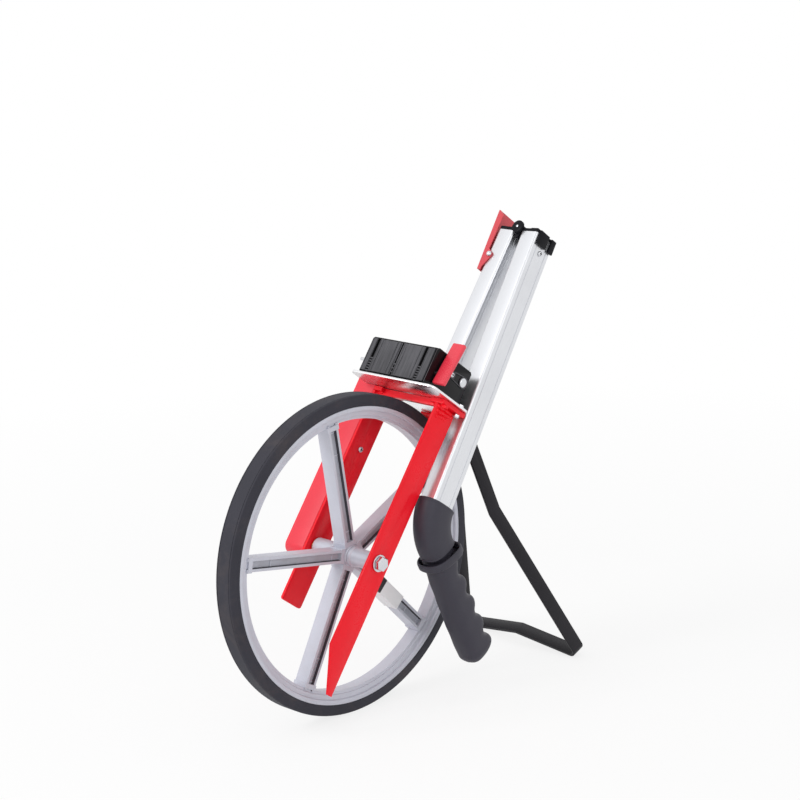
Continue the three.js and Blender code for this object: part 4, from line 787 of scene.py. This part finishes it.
made(bolt, "bracket_bolt_plated", "frame", [bright_steel], fork_place, stands_for="bracket_bolt")
made(screw, "bracket_screw_plated", "frame", [bright_steel, screw_recess_shade], fork_place,
     stands_for="bracket_screw")

# Handle tubes: two bright extruded aluminium tubes with rounded corners. Each broad side has a fine groove
# near both of its edges. The lower one stands in the bracket, and the upper one folds down beside it.
tube_half_depth, tube_half_width, tube_wall, tube_corner = 15.15, 10.25, 1.6, 2.6
line_place, line_width, line_slope, line_deep = 8.3, 1.4, 0.25, 0.55
tube_x, hinge_y, hinge_z, fold_slack = 36.85, -15.1, 378.055, math.radians(3.53)
lower_tube_ends, upper_tube_ends = (178.255, 374.255), (3.5, 299.3)
hinge_place = fork_place @ Matrix.Translation((0, hinge_y, hinge_z))
handle_place = hinge_place @ Matrix.Rotation(math.pi - fold_slack, 4, "X")


def tube(center_x, center_y, start, end):
    """A tube along Z from start to end."""
    shape = bmesh.new()
    outer, inner = line_width / 2, line_width / 2 - line_slope
    face_y, floor_y = -tube_half_width, line_deep - tube_half_width
    section = [(-tube_half_depth, face_y)]
    for x in (-line_place, line_place):
        section += [(x - outer, face_y), (x - inner, floor_y), (x + inner, floor_y), (x + outer, face_y)]
    section.append((tube_half_depth, face_y))
    section += [(-x, -y) for x, y in section]
    face = shape.faces.new([shape.verts.new((center_x + x, center_y + y, start)) for x, y in section])
    corners = [vert for vert in face.verts if abs(vert.co.x - center_x) > line_place + line_width]
    bmesh.ops.bevel(shape, geom=corners, offset=tube_corner, segments=6, profile=0.5, affect="VERTICES",
                    material=-1)
    wall = bmesh.ops.inset_region(shape, faces=list(shape.faces), thickness=tube_wall, use_even_offset=True,
                                  use_boundary=True)["faces"]
    bmesh.ops.delete(shape, geom=[face for face in shape.faces if face not in wall], context="FACES")
    drawn_out(shape, list(shape.faces), (0, 0, end - start))
    return shape


drawn_aluminium = finish(
    "drawn_aluminium", streaks(1500, 1500, 9), (0.77, 0.78, 0.81), (0.70, 0.71, 0.74),
    roughness=0.26, spread=0.10, bump=0.06, metallic=0.9)
made(tube(tube_x, 0.0, *lower_tube_ends), "lower_tube_drawn", "frame", [drawn_aluminium], fork_place,
     stands_for="lower_tube")
made(tube(tube_x, -hinge_y, *upper_tube_ends), "upper_tube_drawn", "upper_handle", [drawn_aluminium],
     handle_place, stands_for="upper_tube")

# Fold hinge: a black cap plugged into the end of each tube, with knuckles round one steel pin. The pin has a
# wide black head with a bright middle. Two lugs and a screw on the upper cap hold the catch, and a narrow
# black block stands in the gap between the tubes.
for node, name, body in (("lower_hinge_cap", "lower_cap", "frame"),
                         ("upper_hinge_cap", "upper_cap", "upper_handle")):
    cad_copy(node, name, [moulded_black], body, edge=0.45, segments=3, angle=40)
pin_place = hinge_place @ Matrix.Rotation(math.pi / 2, 4, "Z")
pin_face = -18.2
pin_profile = [(0.0, pin_face), (1.4, pin_face), (1.4, -18.95), (2.2, -18.95), (2.2, -55.6), (0.0, -55.6)]
disc_profile = [(1.5, -18.1), (5.9, -18.1), (6.6, -18.5), (6.8, -19.1), (6.8, -21.1), (2.3, -21.1),
                (2.3, -18.9), (1.5, -18.9)]
pin = spun(pin_profile, steps=32)
domed_rivet(pin, (0, pin_face, 0), radius=1.4, height=0.4, side=1)
made(pin, "hinge_pin_turned", "frame", [bright_steel], pin_place, stands_for="hinge_pin")
made(spun(disc_profile, steps=48), "hinge_disc", "frame", [moulded_black], pin_place)
filler_start, filler_length = 22.6, 28.6
filler_section = ((-10.6, 373.4), (-19.2, 373.4), (-16.2, 367.4), (-14.6, 367.4))
filler = bmesh.new()
bar(filler, [(filler_start, y, z) for y, z in filler_section], (filler_length, 0, 0))
made(filler, "hinge_filler", "frame", [moulded_black], fork_place, edge=0.4)
catch_seat, catch_height = 25.65, 21.0
catch = bmesh.new()
cross_screw(catch, (tube_x, catch_seat, catch_height), radius=2.8, height=1.5, side=1)
rod(catch, radius=1.4, start=15.6, end=25.8, center=(tube_x, 0, catch_height), steps=20)
made(catch, "catch_screw_plated", "upper_handle", [bright_steel, screw_recess_shade], handle_place,
     stands_for="catch_screw")

# Latch lever: a channel of bent sheet in worn red coat on the lower tube's far face.
# It turns on one plated rivet that goes through the tube.
worn_red = finish(
    "worn_red", mottle(patch=30, grain=700, share=0.4), (0.70, 0.075, 0.095),
    (0.60, 0.055, 0.072), roughness=0.3, spread=0.14, bump=0.16, depth=0.0002, specular=0.4)
cad_copy("latch_lever", "latch_sheet", [worn_red], "latch", edge=0.35, segments=3)
latch_place = fork_place @ Matrix.Translation((0, 6.75, 344.255)) @ Matrix.Rotation(math.pi / 2, 4, "Z")
rivet = bmesh.new()
for seat, side in ((-19.5, 1), (-54.2, -1)):
    domed_rivet(rivet, (0, seat, 0), radius=2.9, height=2.2, side=side)
rod(rivet, radius=2.0, start=-19.4, end=-54.3, steps=24)
made(rivet, "latch_rivet_plated", "frame", [bright_steel], latch_place, stands_for="latch_rivet")

# Elbow: a smooth bend of soft black plastic plugged into the upper tube's end. It has a lip where the tube
# goes in, a moulding line down the middle of both sides, and a neck that goes into the grip.
soft_black = finish(
    "soft_black", mottle(patch=26, grain=2100, share=0.5), (0.030, 0.028, 0.041),
    (0.046, 0.043, 0.060), roughness=0.44, spread=0.12, bump=0.18, specular=0.35)
bend_angle, bend_radius, bend_start = math.radians(62.2), 41.5, 299.6
bend_center = Vector((tube_x + bend_radius, -hinge_y, bend_start))
lip_width, neck_width, bend_half_depth = 41.9, 36.8, 14.5
plug_half_depth, plug_half_width, plug_end, plug_root = 13.2, 8.3, 275.6, 302.0
ring_points, squareness, seam = 48, 0.72, 0.35


def rooted(value, power):
    return math.copysign(abs(value) ** power, value)


def squarish(half_side, half_depth):
    """The points of a ring squarer than an ellipse, with a low ridge on each side where the mould closed."""
    points = []
    for k in range(ring_points):
        turn = 2 * math.pi * k / ring_points
        across, depth = rooted(math.cos(turn), squareness), rooted(math.sin(turn), squareness)
        ridge = seam if k % (ring_points // 2) == 0 else 0.0
        points.append((across * (half_side + ridge), depth * half_depth))
    return points


def ring_edges(shape, verts):
    return [shape.edges.get(pair) for pair in zip(verts, verts[1:] + verts[:1])]


def lofted(shape, rings):
    """A closed skin drawn out from ring to ring. A ring is a list of points, one for each vertex."""
    verts = sorted(bmesh.ops.create_circle(shape, segments=ring_points, radius=1)["verts"],
                   key=lambda vert: math.atan2(vert.co.y, vert.co.x))
    for vert, point in zip(verts, rings[0]):
        vert.co = point
    bmesh.ops.edgeloop_fill(shape, edges=ring_edges(shape, verts))
    for ring in rings[1:]:
        grown = bmesh.ops.extrude_edge_only(shape, edges=ring_edges(shape, verts))["geom"]
        fresh = {part for part in grown if isinstance(part, bmesh.types.BMVert)}
        verts = [next(edge.other_vert(vert) for edge in vert.link_edges if edge.other_vert(vert) in fresh)
                 for vert in verts]
        for vert, point in zip(verts, ring):
            vert.co = point
    bmesh.ops.edgeloop_fill(shape, edges=ring_edges(shape, verts))


def bend_frame(turn):
    """A point on the bend's middle line, the way out from its centre, and the way ahead."""
    point = bend_center + Vector((-bend_radius * math.cos(turn), 0, bend_radius * math.sin(turn)))
    side, ahead = Vector((-math.cos(turn), 0, math.sin(turn))), Vector((math.sin(turn), 0, math.cos(turn)))
    return point, side, ahead


def bend_ring(share, scale=1.0, back=0.0):
    point, side, ahead = bend_frame(share * bend_angle)
    half = (lip_width + (neck_width - lip_width) * share) / 2
    return [point + side * across + Vector((0, depth, 0)) + ahead * back
            for across, depth in squarish(half * scale, bend_half_depth * scale)]


# The size of each ring, as a share of the bend's, and how far ahead of its start or end it lies.
lip_rings = ((0.80, 1.2), (0.86, 1.2), (0.88, 0.0), (0.95, -0.1), (1.0, 0.4), (1.015, 1.0), (1.015, 2.2),
             (1.0, 2.6))
neck_rings = ((1.0, 2.2), (1.02, 2.6), (1.02, 3.6), (1.0, 4.0), (0.96, 4.2), (0.78, 4.3), (0.76, 13.0))
elbow = bmesh.new()
lofted(elbow, [bend_ring(0, *ring) for ring in lip_rings]
       + [bend_ring(0.07 + 0.9 * k / 30) for k in range(31)]
       + [bend_ring(1, *ring) for ring in neck_rings])
slab(elbow, (tube_x - plug_half_depth, -hinge_y - plug_half_width, plug_end),
     (tube_x + plug_half_depth, -hinge_y + plug_half_width, plug_root))
made(elbow, "elbow_moulded", "upper_handle", [soft_black], handle_place, stands_for="elbow")

# Grip: soft black plastic with a cup round the elbow's end, five finger ridges in front, a full back,
# and a moulding line down each side to the rounded end.
neck, side_way, ahead_way = bend_frame(bend_angle)
grip_place = handle_place @ Matrix.Translation(neck) @ Matrix((
    (side_way.x, 0, ahead_way.x, 0), (0, -1, 0, 0), (side_way.z, 0, ahead_way.z, 0), (0, 0, 0, 1)))
cup_start, cup_length, cup_radius, cup_depth, cup_back = 8.4, 9.5, 24.0, 18.4, 0.2
cup_tilt = math.asin(2.4 / 24.0)
grip_start, grip_length, grip_half_depth, grip_steps = 9.1, 128.5, 14.25, 96
ridge_count, ridge_middle, ridge_height, ridge_squareness = 5, 9.2, 3.1, 0.8
back_reach, back_fall = 25.6, 8.2
end_length, end_closing, end_steps, end_rings = 13, 0.985, 8, 14


def cup_ring(share, size):
    along = cup_start + share * cup_length
    return [Vector((cup_back + across * math.cos(cup_tilt), depth, along - across * math.sin(cup_tilt)))
            for across, depth in squarish(cup_radius * size, cup_depth * size)]


def grip_ring(share):
    along = grip_start + share * grip_length
    wave = math.cos(2 * math.pi * ridge_count * share)
    front = -(ridge_middle - ridge_height * rooted(wave, ridge_squareness))
    back = back_reach - back_fall * (1 - share) ** 2
    ending = max(0.0, (along - grip_start - grip_length + end_length) / end_length)
    close = math.sqrt(max(0.0, 1 - (ending * end_closing) ** 2))
    return [Vector(((front + back) / 2 + across, depth, along))
            for across, depth in squarish((back - front) / 2 * close, grip_half_depth * close)]


# The cup's rings, from inside its hollow over the rim to its foot: shares of its length and of its size.
cup_shares = ((0.85, 0.6), (0.8, 0.86), (0.03, 0.90), (-0.04, 0.93), (-0.04, 0.965), (0.05, 0.985),
              (0.2, 1.0), (0.72, 1.0), (0.85, 0.965), (0.95, 0.90), (1.0, 0.82), (1.0, 0.5))
ring_shares = [k / grip_steps for k in range(grip_steps - end_steps)]
ring_shares += [1 - end_steps / grip_steps * (1 - k / end_rings) ** 2 for k in range(end_rings + 1)]
grip = bmesh.new()
lofted(grip, [cup_ring(*shares) for shares in cup_shares])
lofted(grip, [grip_ring(share) for share in ring_shares])
made(grip, "grip_moulded", "upper_handle", [soft_black], grip_place, stands_for="grip")

# Kickstand: one flat strip bent into a bail, in thin satin black coat.
# It swings on a plated pin through a red bracket under the deck.
black_coat = finish(
    "black_coat", mottle(patch=22, grain=800, share=0.4), (0.007, 0.0065, 0.009),
    (0.018, 0.016, 0.021), roughness=0.30, spread=0.18, bump=0.16, depth=0.0002, specular=0.22)
cad_copy("kickstand", "stand_bail", [black_coat], "stand", edge=0.4)
cad_copy("kickstand_bracket", "stand_bracket", [red_coat], "frame", edge=0.4)
pin_x, pin_z, pin_seat, pin_half = 58.4, 166.555, 26.9, 27.0
stand_pin = bmesh.new()
for side in (-1, 1):
    domed_rivet(stand_pin, (pin_x, side * pin_seat, pin_z), radius=5.5, height=2.4, side=side)
rod(stand_pin, radius=3.0, start=-pin_half, end=pin_half, center=(pin_x, 0, pin_z))
made(stand_pin, "stand_pin_plated", "frame", [bright_steel], fork_place, stands_for="kickstand_pin")
